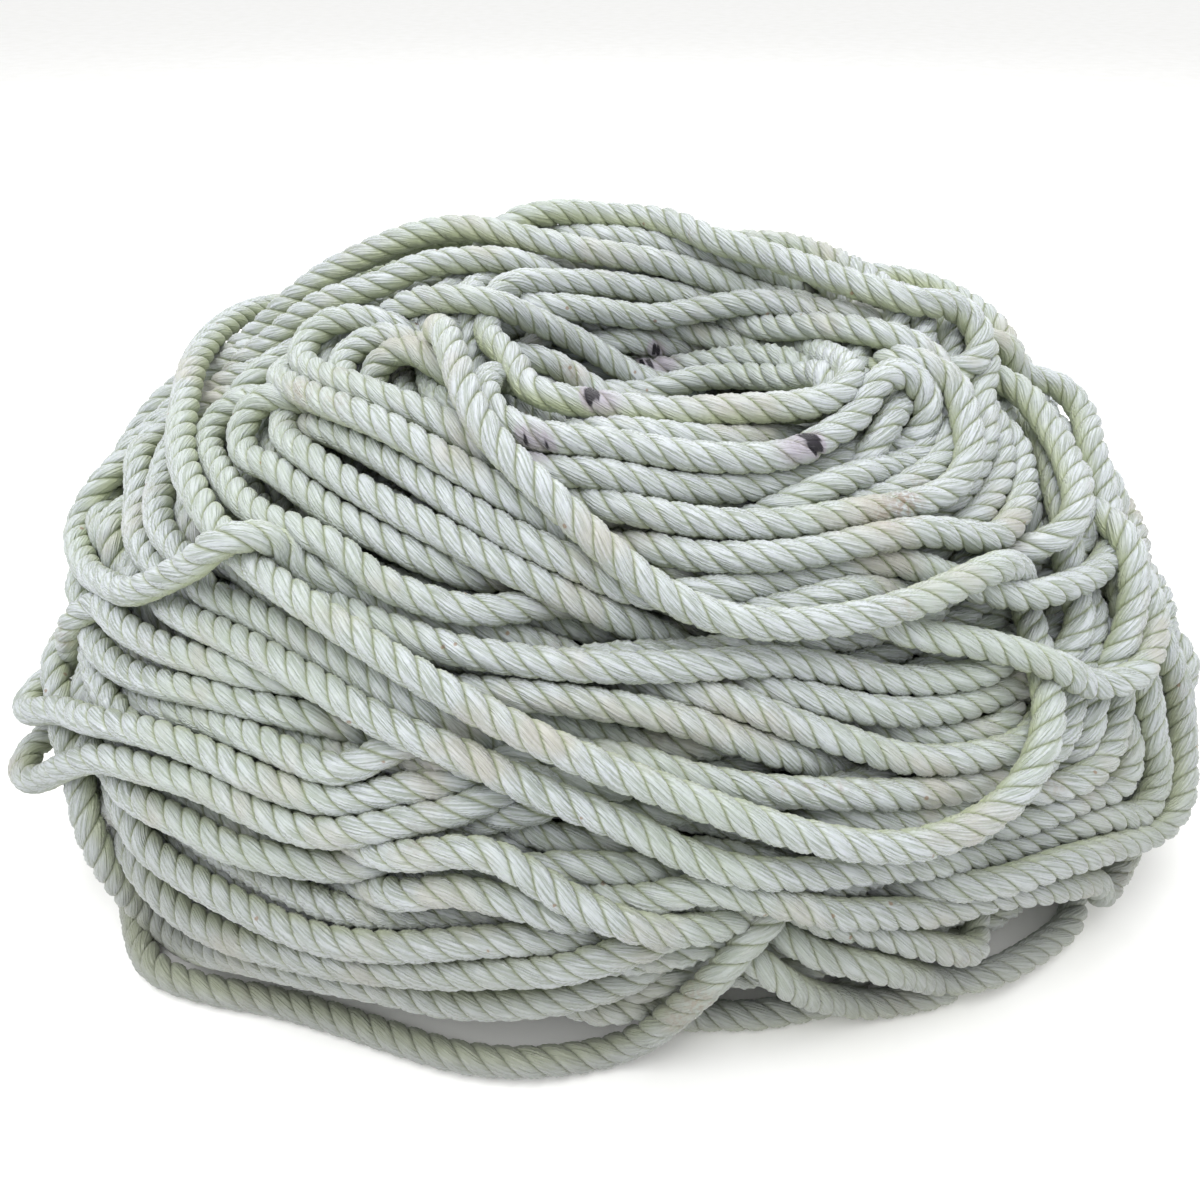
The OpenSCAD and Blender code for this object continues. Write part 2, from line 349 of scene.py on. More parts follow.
# Passes of the rope over the heap, from the lowest to the topmost, as places in the camera's 1200 x 1200:
PASSES: dict[str, list[tuple[int, int]]] = {
    "rim_u": [(240, 352), (275, 318), (310, 290), (345, 268), (385, 250), (430, 239), (480, 235), (530, 237),
        (580, 235), (630, 237), (680, 247), (720, 257), (770, 271)],
    "rim_a": [(108, 560), (95, 520), (110, 478), (135, 440), (170, 402), (212, 368), (255, 338), (290, 303),
        (325, 277), (360, 257), (402, 239), (445, 229), (485, 230), (525, 238), (565, 246), (600, 253),
        (650, 260), (700, 274), (750, 289), (800, 302), (850, 316), (900, 335), (940, 352)],
    "rim_b": [(500, 226), (550, 216), (600, 220), (640, 223), (680, 231), (710, 243), (740, 248), (800, 266),
        (850, 284), (900, 303), (940, 320), (965, 335), (968, 352), (945, 364), (915, 368)],
    "rim_c": [(235, 372), (270, 348), (310, 322), (350, 300), (385, 285), (420, 266), (463, 262), (513, 262),
        (560, 262)],
    "row_d": [(470, 292), (520, 287), (560, 285), (600, 286), (650, 291), (690, 300), (720, 312)],
    "row_f": [(540, 308), (600, 312), (650, 318), (700, 311), (750, 308), (800, 312), (850, 319), (883, 325),
        (917, 338), (945, 350)],
    "row_e": [(380, 325), (415, 305), (447, 305), (497, 313), (530, 321), (563, 333), (600, 352), (635, 376),
        (667, 384)],
    "row_h": [(610, 330), (650, 333), (700, 337), (750, 340), (800, 347), (827, 358), (848, 374), (855, 392),
        (835, 405), (800, 408), (750, 411), (700, 414), (650, 414), (600, 408), (550, 397), (523, 387),
        (507, 370), (493, 353), (477, 337), (462, 325)],
    "row_i": [(690, 326), (743, 331), (800, 330), (850, 333), (883, 338), (910, 349), (932, 367), (946, 392),
        (953, 415), (957, 440), (950, 465)],
    "row_j": [(560, 375), (615, 393), (650, 392), (683, 382), (717, 377), (750, 376), (800, 378), (835, 381)],
    "ink_v": [(505, 345), (537, 357), (563, 370), (585, 385), (610, 397), (640, 398)],
    "row_l": [(520, 378), (500, 372), (484, 388), (490, 410), (507, 427), (530, 437), (563, 443), (600, 446),
        (650, 451), (700, 459), (750, 463), (790, 457), (815, 444), (835, 425)],
    "row_k2": [(560, 425), (600, 430), (650, 436), (700, 440), (767, 438), (805, 428)],
    "row_oo": [(545, 462), (600, 477), (640, 484), (690, 488), (740, 486), (785, 482), (820, 470)],
    "fan1": [(815, 480), (850, 455), (880, 440), (915, 425), (925, 405), (905, 390), (880, 397), (855, 415),
        (830, 437)],
    "fan2": [(800, 500), (850, 482), (890, 465), (920, 448), (930, 425)],
    "fan3": [(840, 500), (880, 488), (917, 470), (943, 450), (948, 425)],
    "fan4": [(975, 380), (975, 400), (982, 425), (983, 450), (975, 478), (962, 500), (945, 518)],
    "fan5": [(990, 400), (1000, 440), (1002, 465), (992, 490), (978, 510), (960, 530)],
    "fan6": [(1012, 430), (1018, 465), (1020, 490), (1012, 515), (995, 540)],
    "kk": [(575, 475), (605, 498), (640, 510), (670, 518), (700, 523), (750, 526), (800, 524), (840, 518),
        (870, 513), (903, 507), (935, 497), (957, 483), (965, 460), (962, 440), (957, 413), (948, 388),
        (925, 372)],
    "ll": [(600, 530), (640, 548), (683, 560), (717, 564), (750, 564), (783, 560), (817, 551), (870, 537),
        (920, 530), (960, 535), (1000, 545)],
    "mm": [(660, 592), (700, 593), (733, 591), (783, 584), (833, 577), (870, 571), (905, 567), (935, 572),
        (965, 585)],
    "nn": [(690, 600), (733, 604), (770, 603), (813, 601), (847, 595), (880, 589), (910, 581)],
    "sh1": [(255, 362), (215, 390), (180, 420), (152, 460), (142, 500), (142, 535), (155, 565), (175, 590)],
    "sh2": [(240, 385), (200, 415), (172, 450), (162, 490), (165, 525), (180, 555), (205, 585)],
    "sh3": [(225, 420), (205, 450), (193, 490), (190, 530), (205, 560)],
    "hook_on": [(270, 551), (292, 558), (315, 572), (345, 590), (390, 610), (440, 622), (500, 634),
        (560, 645)],
    "bt4": [(290, 400), (250, 405), (220, 418), (212, 440), (218, 468), (240, 500), (273, 527), (307, 547),
        (340, 564), (373, 580), (407, 593), (440, 603), (473, 609), (507, 606), (535, 597)],
    "bt3": [(285, 410), (255, 415), (245, 432), (255, 450), (273, 468), (307, 493), (340, 516), (373, 533),
        (407, 550), (440, 563), (473, 574), (505, 582)],
    "bt2": [(283, 405), (280, 420), (290, 440), (303, 452), (340, 478), (373, 497), (407, 516), (440, 530),
        (473, 547), (507, 563), (540, 580), (573, 597), (607, 613), (645, 627), (680, 635)],
    "bt1": [(300, 402), (310, 420), (347, 437), (393, 463), (427, 483), (460, 504), (507, 535), (540, 549),
        (573, 564), (605, 580)],
    "bt0z": [(452, 368), (425, 358), (395, 356), (375, 364), (368, 378), (385, 392), (410, 402)],
    "bt0y": [(447, 352), (415, 342), (383, 339), (358, 347), (343, 360), (345, 376), (362, 390), (392, 404),
        (425, 415)],
    "bt0x": [(430, 330), (390, 322), (350, 325), (320, 338), (306, 357), (312, 375), (345, 388), (385, 400),
        (425, 413), (460, 432), (500, 462)],
    "bt0": [(340, 350), (300, 360), (280, 378), (285, 392), (327, 400), (360, 413), (393, 430), (427, 450),
        (460, 471), (493, 491), (527, 510), (560, 530), (590, 556)],
    "cc": [(275, 560), (303, 577), (340, 597), (373, 616), (407, 632), (440, 645), (473, 653), (523, 660),
        (573, 665), (640, 667), (700, 668), (733, 668), (780, 668), (847, 675), (880, 681), (913, 684),
        (947, 683), (980, 677), (1005, 668)],
    "gg": [(690, 690), (750, 687), (820, 697), (847, 706), (880, 711), (913, 714), (947, 711), (980, 703),
        (1010, 688)],
    "hh": [(850, 718), (890, 729), (930, 734), (963, 731), (997, 727), (1023, 718)],
    "ff": [(620, 690), (660, 692), (700, 692), (733, 698), (767, 711), (800, 725), (847, 741), (880, 753),
        (913, 760), (947, 761), (980, 757), (1013, 747), (1033, 733)],
    "ee": [(455, 688), (500, 693), (550, 698), (600, 704), (633, 708), (667, 714), (700, 723), (733, 737),
        (767, 748), (813, 764), (850, 772)],
    "ii": [(600, 745), (640, 760), (683, 776), (717, 783), (750, 789), (800, 793), (847, 795), (880, 797),
        (913, 797), (947, 791), (980, 783), (1007, 773), (1025, 757)],
    "jj": [(800, 822), (863, 818), (913, 817), (947, 810), (980, 800), (1005, 787)],
    "p2": [(195, 590), (240, 607), (273, 627), (307, 645), (340, 664), (373, 685), (405, 705), (440, 724)],
    "aa": [(90, 600), (87, 628), (103, 655), (137, 677), (170, 687), (203, 693), (253, 703), (303, 717),
        (353, 730), (390, 742)],
    "bb": [(110, 600), (120, 618), (140, 635), (170, 650), (203, 662), (237, 671), (287, 692)],
    "under_w": [(130, 690), (160, 705), (203, 715), (240, 730), (270, 745), (310, 765), (345, 775),
        (380, 760), (420, 752)],
    "g": [(575, 1003), (600, 1006), (630, 1008), (660, 1012), (690, 1016), (717, 1018), (750, 1016),
        (800, 1008), (840, 1000)],
    "g_up": [(640, 992), (665, 978), (690, 962), (712, 946)],
    "w_up": [(105, 600), (85, 622), (70, 645), (55, 665)],
    "x_up": [(90, 705), (65, 725), (50, 737)],
    "b": [(74, 618), (68, 650), (66, 680), (68, 712), (73, 745), (80, 775), (90, 808), (105, 847), (122, 882),
        (143, 912), (165, 933), (200, 950), (240, 958), (285, 968), (330, 978), (375, 985), (433, 1000),
        (467, 1004), (500, 1004), (550, 1000), (612, 985), (662, 962), (700, 943)],
    "c2": [(95, 628), (92, 655), (93, 685), (95, 715), (98, 745), (104, 775), (112, 805), (124, 838),
        (140, 868), (160, 893), (185, 915), (215, 932), (250, 945), (293, 955), (340, 965), (390, 970),
        (450, 974), (500, 971), (550, 967), (595, 955), (640, 947)],
    "c": [(105, 760), (118, 795), (130, 822), (147, 848), (175, 868), (205, 887), (243, 907), (280, 925),
        (320, 938), (360, 944), (410, 946), (450, 943), (500, 940), (550, 939), (590, 935), (625, 930)],
    "y": [(100, 765), (115, 782), (133, 795), (155, 810), (187, 824), (220, 843), (270, 857), (320, 863),
        (353, 863), (387, 853), (420, 840), (450, 826), (480, 812), (510, 800)],
    "x_bight": [(50, 737), (37, 748), (28, 765), (34, 779), (60, 773), (84, 763), (107, 760), (137, 767),
        (170, 776), (203, 787), (237, 803), (270, 818), (303, 830), (337, 833), (370, 828), (420, 811),
        (450, 804), (490, 797), (530, 795)],
    "w_bight": [(55, 665), (40, 682), (30, 697), (37, 711), (70, 711), (103, 720), (137, 730), (170, 740),
        (220, 760), (253, 776), (287, 788), (320, 797), (353, 800), (387, 795), (420, 789), (450, 785),
        (490, 782)],
    "s": [(470, 815), (500, 824), (533, 837), (567, 847), (607, 849), (650, 852), (690, 868)],
    "t": [(430, 860), (475, 868), (550, 868), (587, 871), (627, 877), (660, 873), (695, 878)],
    "u": [(590, 895), (613, 897), (650, 898), (683, 890), (715, 886), (750, 893), (790, 900)],
    "v": [(420, 895), (443, 888), (500, 897), (533, 904), (575, 918)],
    "r": [(400, 850), (450, 850), (483, 851), (510, 863), (543, 883), (577, 902), (613, 913), (653, 922),
        (700, 926), (733, 923), (767, 916), (800, 905)],
    "q": [(150, 585), (170, 597), (193, 617), (227, 637), (260, 653), (287, 667), (320, 684), (353, 703),
        (387, 722), (425, 740), (467, 757), (500, 775), (533, 790), (567, 803), (600, 816), (633, 830),
        (667, 847), (700, 864), (745, 879), (783, 881), (825, 876), (870, 868)],
    "i": [(735, 930), (755, 953), (780, 975), (810, 990), (850, 1001), (890, 1001), (925, 995), (955, 985)],
    "k": [(760, 900), (797, 914), (827, 923), (860, 928), (893, 937), (927, 943), (960, 947)],
    "j": [(755, 905), (785, 930), (810, 945), (843, 958), (877, 967), (910, 974), (943, 978), (977, 975),
        (1005, 966), (1030, 953), (1053, 938), (1070, 922), (1076, 905)],
    "l": [(790, 895), (820, 908), (855, 911), (893, 909), (947, 901), (993, 894), (1043, 889), (1077, 884),
        (1105, 878), (1121, 864), (1120, 845)],
    "m0": [(900, 890), (947, 884), (993, 876), (1027, 869), (1060, 858), (1093, 847), (1127, 838),
        (1155, 830), (1173, 813), (1182, 790), (1182, 760), (1179, 720), (1172, 680), (1160, 645),
        (1145, 612), (1128, 580)],
    "n": [(880, 868), (947, 860), (993, 848), (1027, 840), (1060, 830), (1093, 821), (1125, 813), (1146, 803),
        (1153, 785), (1153, 755), (1150, 720), (1147, 690), (1140, 665)],
    "o": [(960, 835), (1000, 825), (1027, 817), (1060, 806), (1093, 795), (1122, 785), (1130, 765),
        (1132, 735), (1130, 705)],
    "rt1": [(1010, 805), (1045, 790), (1080, 772), (1103, 750), (1115, 725), (1118, 700)],
    "rt2": [(1050, 780), (1070, 755), (1085, 730), (1090, 705)],
    "rt3": [(1050, 750), (1063, 730), (1068, 705)],
    "bend": [(830, 600), (870, 610), (903, 627), (947, 638), (980, 645), (1013, 655), (1040, 670),
        (1067, 683), (1100, 684), (1125, 672), (1138, 650), (1140, 622), (1133, 592), (1120, 562),
        (1108, 535)],
    "outer_r": [(965, 352), (985, 352), (1010, 368), (1040, 387), (1065, 413), (1080, 440), (1090, 470),
        (1097, 500), (1105, 525), (1107, 548), (1095, 567), (1065, 580), (1030, 585), (1000, 582),
        (965, 578)],
    "outer_r2": [(1108, 515), (1118, 545), (1122, 575), (1125, 600), (1122, 625), (1112, 650)],
    "outer_r3": [(1095, 585), (1105, 610), (1102, 640), (1090, 665)],
    "outer_r4": [(1080, 590), (1085, 615), (1075, 645), (1055, 660)],
    "rise": [(985, 365), (1010, 385), (1030, 405), (1047, 430), (1060, 457), (1067, 480), (1067, 503),
        (1060, 523), (1040, 540), (1010, 560), (977, 577)],
    "hook": [(262, 345), (215, 375), (175, 412), (140, 450), (112, 490), (92, 530), (90, 565), (105, 590),
        (130, 595), (160, 582), (190, 568), (220, 557), (250, 550), (270, 551)],
}
# Where the rope comes down out of the heap to the front loop:
FRONT_RISE = [(780, 920), (753, 937), (733, 952), (709, 979)]
# How it comes up out of the eye, ahead of the eye turn:
EYE_LEAD_AZ, EYE_LEAD_LEVEL = (262.0, 284.0, 308.0), (-1.1, -0.9, 0.3)


class Kind(Enum):
    """Where in the heap a stretch of the rope lies."""

    ROUTE = "a loose stretch on its own route"
    SHOWN = "a pass of the outer layer"
    UNDER = "a pass just under the outer layer"
    INNER = "rope inside the heap"


# How far apart the rope's rings and its middle line's points are, in metres:
RING_STEP = {Kind.ROUTE: 0.0021, Kind.SHOWN: 0.0021, Kind.UNDER: 0.0034, Kind.INNER: 0.0038}
POINT_STEP = 0.0045
# The place of what is hidden among the passes, which count up from 0, and a cost that rules a choice out:
HIDDEN_ORDER = -30.0
NO_WAY = 1e9


@dataclass
class Stretch:
    """A stretch of the rope's middle line, with the mound's outward direction at each point."""

    name: str
    points: Array
    outward: Array
    kind: Kind
    order: float = 0.0
    facing: Optional[Array] = None
    sight: Optional[Array] = None

    @property
    def length(self) -> float:
        """How long the stretch is."""
        return float(arc_lengths(self.points)[-1])

    def turned(self) -> "Stretch":
        """Gives the same stretch from its other end."""
        flip = [None if a is None else a[::-1] for a in (self.facing, self.sight)]
        return Stretch(self.name, self.points[::-1], self.outward[::-1], self.kind, self.order, *flip)

    def trim(self, part: slice) -> None:
        """Keeps only a part of the stretch."""
        for name in ("points", "outward", "facing", "sight"):
            values = getattr(self, name)
            setattr(self, name, None if values is None else values[part])

    def heading(self, at_start: bool, reach: int = 3) -> Array:
        """Gives the direction in which the stretch leaves through one of its ends."""
        p = self.points if at_start else self.points[::-1]
        return unit(p[0] - p[min(reach, len(p) - 1)])


String = list[Stretch]


def turned(string: String) -> String:
    """Turns a string of stretches round."""
    return [s.turned() for s in reversed(string)]


@dataclass
class Skin:
    """The mound's surface as a cloud of points, for finding the place under a ray or near a point."""

    mound: Mound
    camera: StillCamera
    az_step: float = 1.0
    climb_step: float = 0.0015
    coarse_every: int = 4
    batch: int = 400
    floor_reach: float = 0.07
    floor_front: tuple[float, float] = (215.0, 330.0)
    half_width: float = 0.264
    near_px: float = 6.0
    metres_per_px: float = 0.004
    least_facing: float = -0.05
    grazing: float = 0.3
    least_slant: float = 0.25
    most_off: float = 0.012
    least_fall: float = 0.01

    def __post_init__(self) -> None:
        """Spreads the points and looks at them through the camera."""
        floor_climbs = np.arange(-self.floor_reach, 0, 2 * self.climb_step)
        climbs = np.r_[floor_climbs, np.arange(0, self.mound.top_climb, self.climb_step)]
        az, climb = (g.ravel() for g in np.meshgrid(np.arange(0, 360, self.az_step), climbs))
        low_az, high_az = self.floor_front
        wanted = (climb >= 0) | ((az > low_az) & (az < high_az))
        self.az, self.climb = az[wanted], climb[wanted]
        self.points = self.mound.surface(self.az, self.climb)
        self.outward = self.mound.outward(self.az, self.climb)
        self.px, self.depth = self.camera.project(self.points)
        self.facing = -dots(unit(self.points - self.camera.place), self.outward)
        steps = np.round(np.column_stack([self.az / self.az_step, self.climb / self.climb_step]))
        self.coarse = np.flatnonzero((steps % self.coarse_every == 0).all(1) & (self.climb >= 0))

    def under(self, px: Array) -> tuple[Array, Array, Array]:
        """Finds what of the mound lies under places in the frame.

        Args:
            px: Places in the frame, one a row.

        Returns:
            Points on the rays through them, the outward directions, and how far the surface faces the
            camera.
        """
        rays = self.camera.rays(px)
        turned_off = np.where(self.facing > self.least_facing, 0, NO_WAY)
        found = []
        for place in px:
            gap = np.hypot(*(self.px - place).T) + turned_off
            near = np.flatnonzero(gap < gap.min() + self.near_px)
            found.append(near[np.argmin(self.depth[near] + gap[near] * self.metres_per_px)])
        k = np.array(found)
        base, out = self.points[k] - self.camera.place, self.outward[k]
        slant = -dots(rays, out)
        to_plane = -dots(base, out) / np.maximum(slant, self.least_slant)
        closest = dots(base, rays)
        reach = np.where(slant > self.grazing, to_plane, closest)
        reach = np.clip(reach, closest - self.most_off, closest + self.most_off)
        reach[1:-1] = (reach[:-2] + 2 * reach[1:-1] + reach[2:]) / 4
        to_floor = (ROPE.radius - self.camera.place[2]) / np.minimum(rays[:, 2], -self.least_fall)
        aside = rays[:, 0]
        to_side = (self.half_width - np.sign(aside) * self.camera.place[0]) / np.maximum(np.abs(aside), TINY)
        reach = np.minimum(reach, np.minimum(to_floor, to_side))
        return self.camera.place + reach[:, None] * rays, out, self.facing[k]

    def near(self, points: Array) -> tuple[Array, Array]:
        """Finds the coarse surface point nearest to each point, as its place and its outward direction."""
        base = self.points[self.coarse]
        parts = np.array_split(points, max(1, len(points) // self.batch))
        k = np.concatenate([np.argmin(((part[:, None] - base[None]) ** 2).sum(-1), axis=1) for part in parts])
        return base[k], self.outward[self.coarse][k]

    def within(self, points: Array) -> Array:
        """Keeps points over the floor and between the heap's sides."""
        points[:, 0] = np.clip(points[:, 0], -self.half_width, self.half_width)
        points[:, 2] = np.maximum(points[:, 2], ROPE.radius)
        return points


def hermite(a: Array, leave: Array, b: Array, arrive: Array, pull: float) -> Array:
    """Draws a smooth curve between two points.

    Args:
        a: The first point.
        leave: The direction at the first point.
        b: The last point.
        arrive: The direction at the last point.
        pull: How strongly the directions hold, in metres.

    Returns:
        Points along the curve, both ends among them.
    """
    pull_share, least_count = 0.5, 4
    reach = float(np.linalg.norm(b - a)) + pull_share * pull
    t = np.linspace(0, 1, max(least_count, int(reach / POINT_STEP) + 2))[:, None]
    return (
        (2 * t**3 - 3 * t**2 + 1) * a
        + (t**3 - 2 * t**2 + t) * pull * leave
        + (3 * t**2 - 2 * t**3) * b
        + (t**3 - t**2) * pull * arrive
    )


def tightest(points: Array) -> float:
    """Gives the least radius of curvature along a line of three points or more."""
    a, b = points[1:-1] - points[:-2], points[2:] - points[1:-1]
    turn = np.arccos(np.clip(dots(unit(a), unit(b)), -1, 1))
    return float(np.min((np.linalg.norm(a, axis=1) + np.linalg.norm(b, axis=1)) / 2 / np.maximum(turn, TINY)))


@dataclass
class Laying:
    """Lays stretches of rope on the mound."""

    mound: Mound
    skin: Skin
    per_corner: int = 12
    per_place: int = 8
    per_turn_place: int = 6
    least_climb: float = 0.001

    def places(self, route: Route) -> Array:
        """Gives the points of a route's places."""
        az, percent, level = np.array(route, float).T
        return self.mound.at(az, self.mound.full_climb * percent / 100, level)

    def run(self, lead: Array, routes: list[tuple[str, Route, float]]) -> String:
        """Lays stretches on one smooth line through their routes.

        Args:
            lead: Points to go through before the first route.
            routes: Each stretch's name, route, and place among the passes from the lowest to the topmost.

        Returns:
            The stretches, the first of which takes in the lead.
        """
        corners = [lead] + [self.places(route) for _, route, _ in routes]
        counts = np.cumsum([len(c) for c in corners])
        points = np.vstack(corners)
        last = len(points) - 1
        fine = smooth_line(points, np.linspace(0, last, self.per_corner * last + 1))
        stretches, start = [], 0
        for (name, _, order), count in zip(routes, counts[1:]):
            stop = self.per_corner * (count - 1)
            part = evenly(fine[start : stop + 1], POINT_STEP)[0]
            stretches.append(Stretch(name, part, self.skin.near(part)[1], Kind.ROUTE, order))
            start = stop
        return stretches

    def shown(self, name: str, px: list[tuple[int, int]], order: float) -> Stretch:
        """Lays a pass over the mound under places in the frame."""
        points, out, facing = self.skin.under(np.array(px, float))
        t = np.linspace(0, len(points) - 1, self.per_place * len(points))
        facing = np.interp(t, np.arange(len(facing)), facing)
        fine, normals, facing = evenly(smooth_line(points, t), POINT_STEP, unit(smooth_line(out, t)), facing)
        return Stretch(name, fine, unit(normals), Kind.SHOWN, order, facing, self.sight(fine))

    def sight(self, points: Array) -> Array:
        """Gives the directions from points to the camera."""
        return unit(self.skin.camera.place - points)

    def turns(
        self, name: str, az: Array, climb: Array, level: Array, kind: Kind, order: float = 0.0
    ) -> Stretch:
        """Lays a stretch through places on the mound, by their directions, climbs and levels."""
        points = self.mound.at(az, climb, level)
        out = self.mound.outward(az, np.maximum(climb, self.least_climb))
        t = np.linspace(0, len(points) - 1, self.per_turn_place * len(points))
        fine, normals = evenly(smooth_line(points, t), POINT_STEP, unit(smooth_line(out, t)))
        fine[:, 2] = np.maximum(fine[:, 2], ROPE.radius)
        return Stretch(name, fine, unit(normals), kind, order)


@dataclass
class PassJoints:
    """Joins the shown passes that go on into one another."""

    laying: Laying
    meets: float = 0.006
    reach: float = 0.065
    aim: float = 0.5
    aim_cost: float = 3.0
    trim_met: int = 1
    trim_apart: int = 4
    least_trims: int = 3
    sag_share: float = 0.3
    most_sag: float = 0.9
    just_under: float = 0.01

    def joint(self, before: Stretch, after: Stretch) -> Stretch:
        """Draws the short piece of rope that joins two passes, under those that hide the gap.

        Args:
            before: The pass before, which is trimmed at its end to meet it.
            after: The pass after, which is trimmed at its start.

        Returns:
            The piece.
        """
        near = float(np.linalg.norm(before.points[-1] - after.points[0])) < self.meets
        trim = self.trim_met if near else self.trim_apart
        for stretch, part in ((before, slice(None, -trim)), (after, slice(trim, None))):
            if len(stretch.points) > self.least_trims * trim:
                stretch.trim(part)
        a, b = before.points[-1], after.points[0]
        gap = float(np.linalg.norm(b - a))
        line = hermite(a, before.heading(False), b, -after.heading(True), gap)
        t = np.linspace(0, 1, len(line))[:, None]
        out = unit((1 - t) * before.outward[-1] + t * after.outward[0])
        sag = min(self.most_sag * ROPE.diameter, self.sag_share * max(0.0, gap - 2 * trim * POINT_STEP))
        line, out = evenly(line - sag * np.sin(math.pi * t) * out, POINT_STEP, out)
        points, out = line[1:-1], unit(out[1:-1])
        order = min(before.order, after.order) - self.just_under if near else HIDDEN_ORDER
        facing, sight = np.ones(len(points)), self.laying.sight(points)
        return Stretch("joint", points, out, Kind.SHOWN, order, facing, sight)

    def joined(self, strings: list[String]) -> list[String]:
        """Joins the ends of passes that go on into one another, the best pair first.

        Args:
            strings: The passes, each in a string of its own.

        Returns:
            The strings that come of it.
        """
        while True:
            ends = [(k, start) for k in range(len(strings)) for start in (True, False)]
            points = np.array([strings[k][0 if s else -1].points[0 if s else -1] for k, s in ends])
            heads = np.array([strings[k][0 if s else -1].heading(s) for k, s in ends])
            owner = np.array([k for k, _ in ends])
            gap = points[None] - points[:, None]
            far = np.linalg.norm(gap, axis=-1)
            way = gap / np.maximum(far, TINY)[..., None]
            touching, facing = far < self.meets, (1 - heads @ heads.T) / 2
            mine = np.where(touching, facing, np.einsum("ik,ijk->ij", heads, way))
            theirs = np.where(touching, facing, -np.einsum("jk,ijk->ij", heads, way))
            cost = far * (1 + self.aim_cost * (1 - mine) + self.aim_cost * (1 - theirs))
            off = (far > self.reach) | (mine < self.aim) | (theirs < self.aim)
            cost = np.where(off | (owner[:, None] == owner[None]), NO_WAY, cost)
            i, j = np.unravel_index(np.argmin(cost), cost.shape)
            if cost[i, j] >= NO_WAY:
                return strings
            first = turned(strings[owner[i]]) if ends[i][1] else strings[owner[i]]
            second = strings[owner[j]] if ends[j][1] else turned(strings[owner[j]])
            merged = first + [self.joint(first[-1], second[0])] + second
            strings = [s for k, s in enumerate(strings) if k not in (owner[i], owner[j])] + [merged]


@dataclass
class SideEnd:
    """An end of a string that goes on round the back of the heap."""

    left: bool
    az: float
    climb: float
    slope: float
    key: tuple[int, bool]


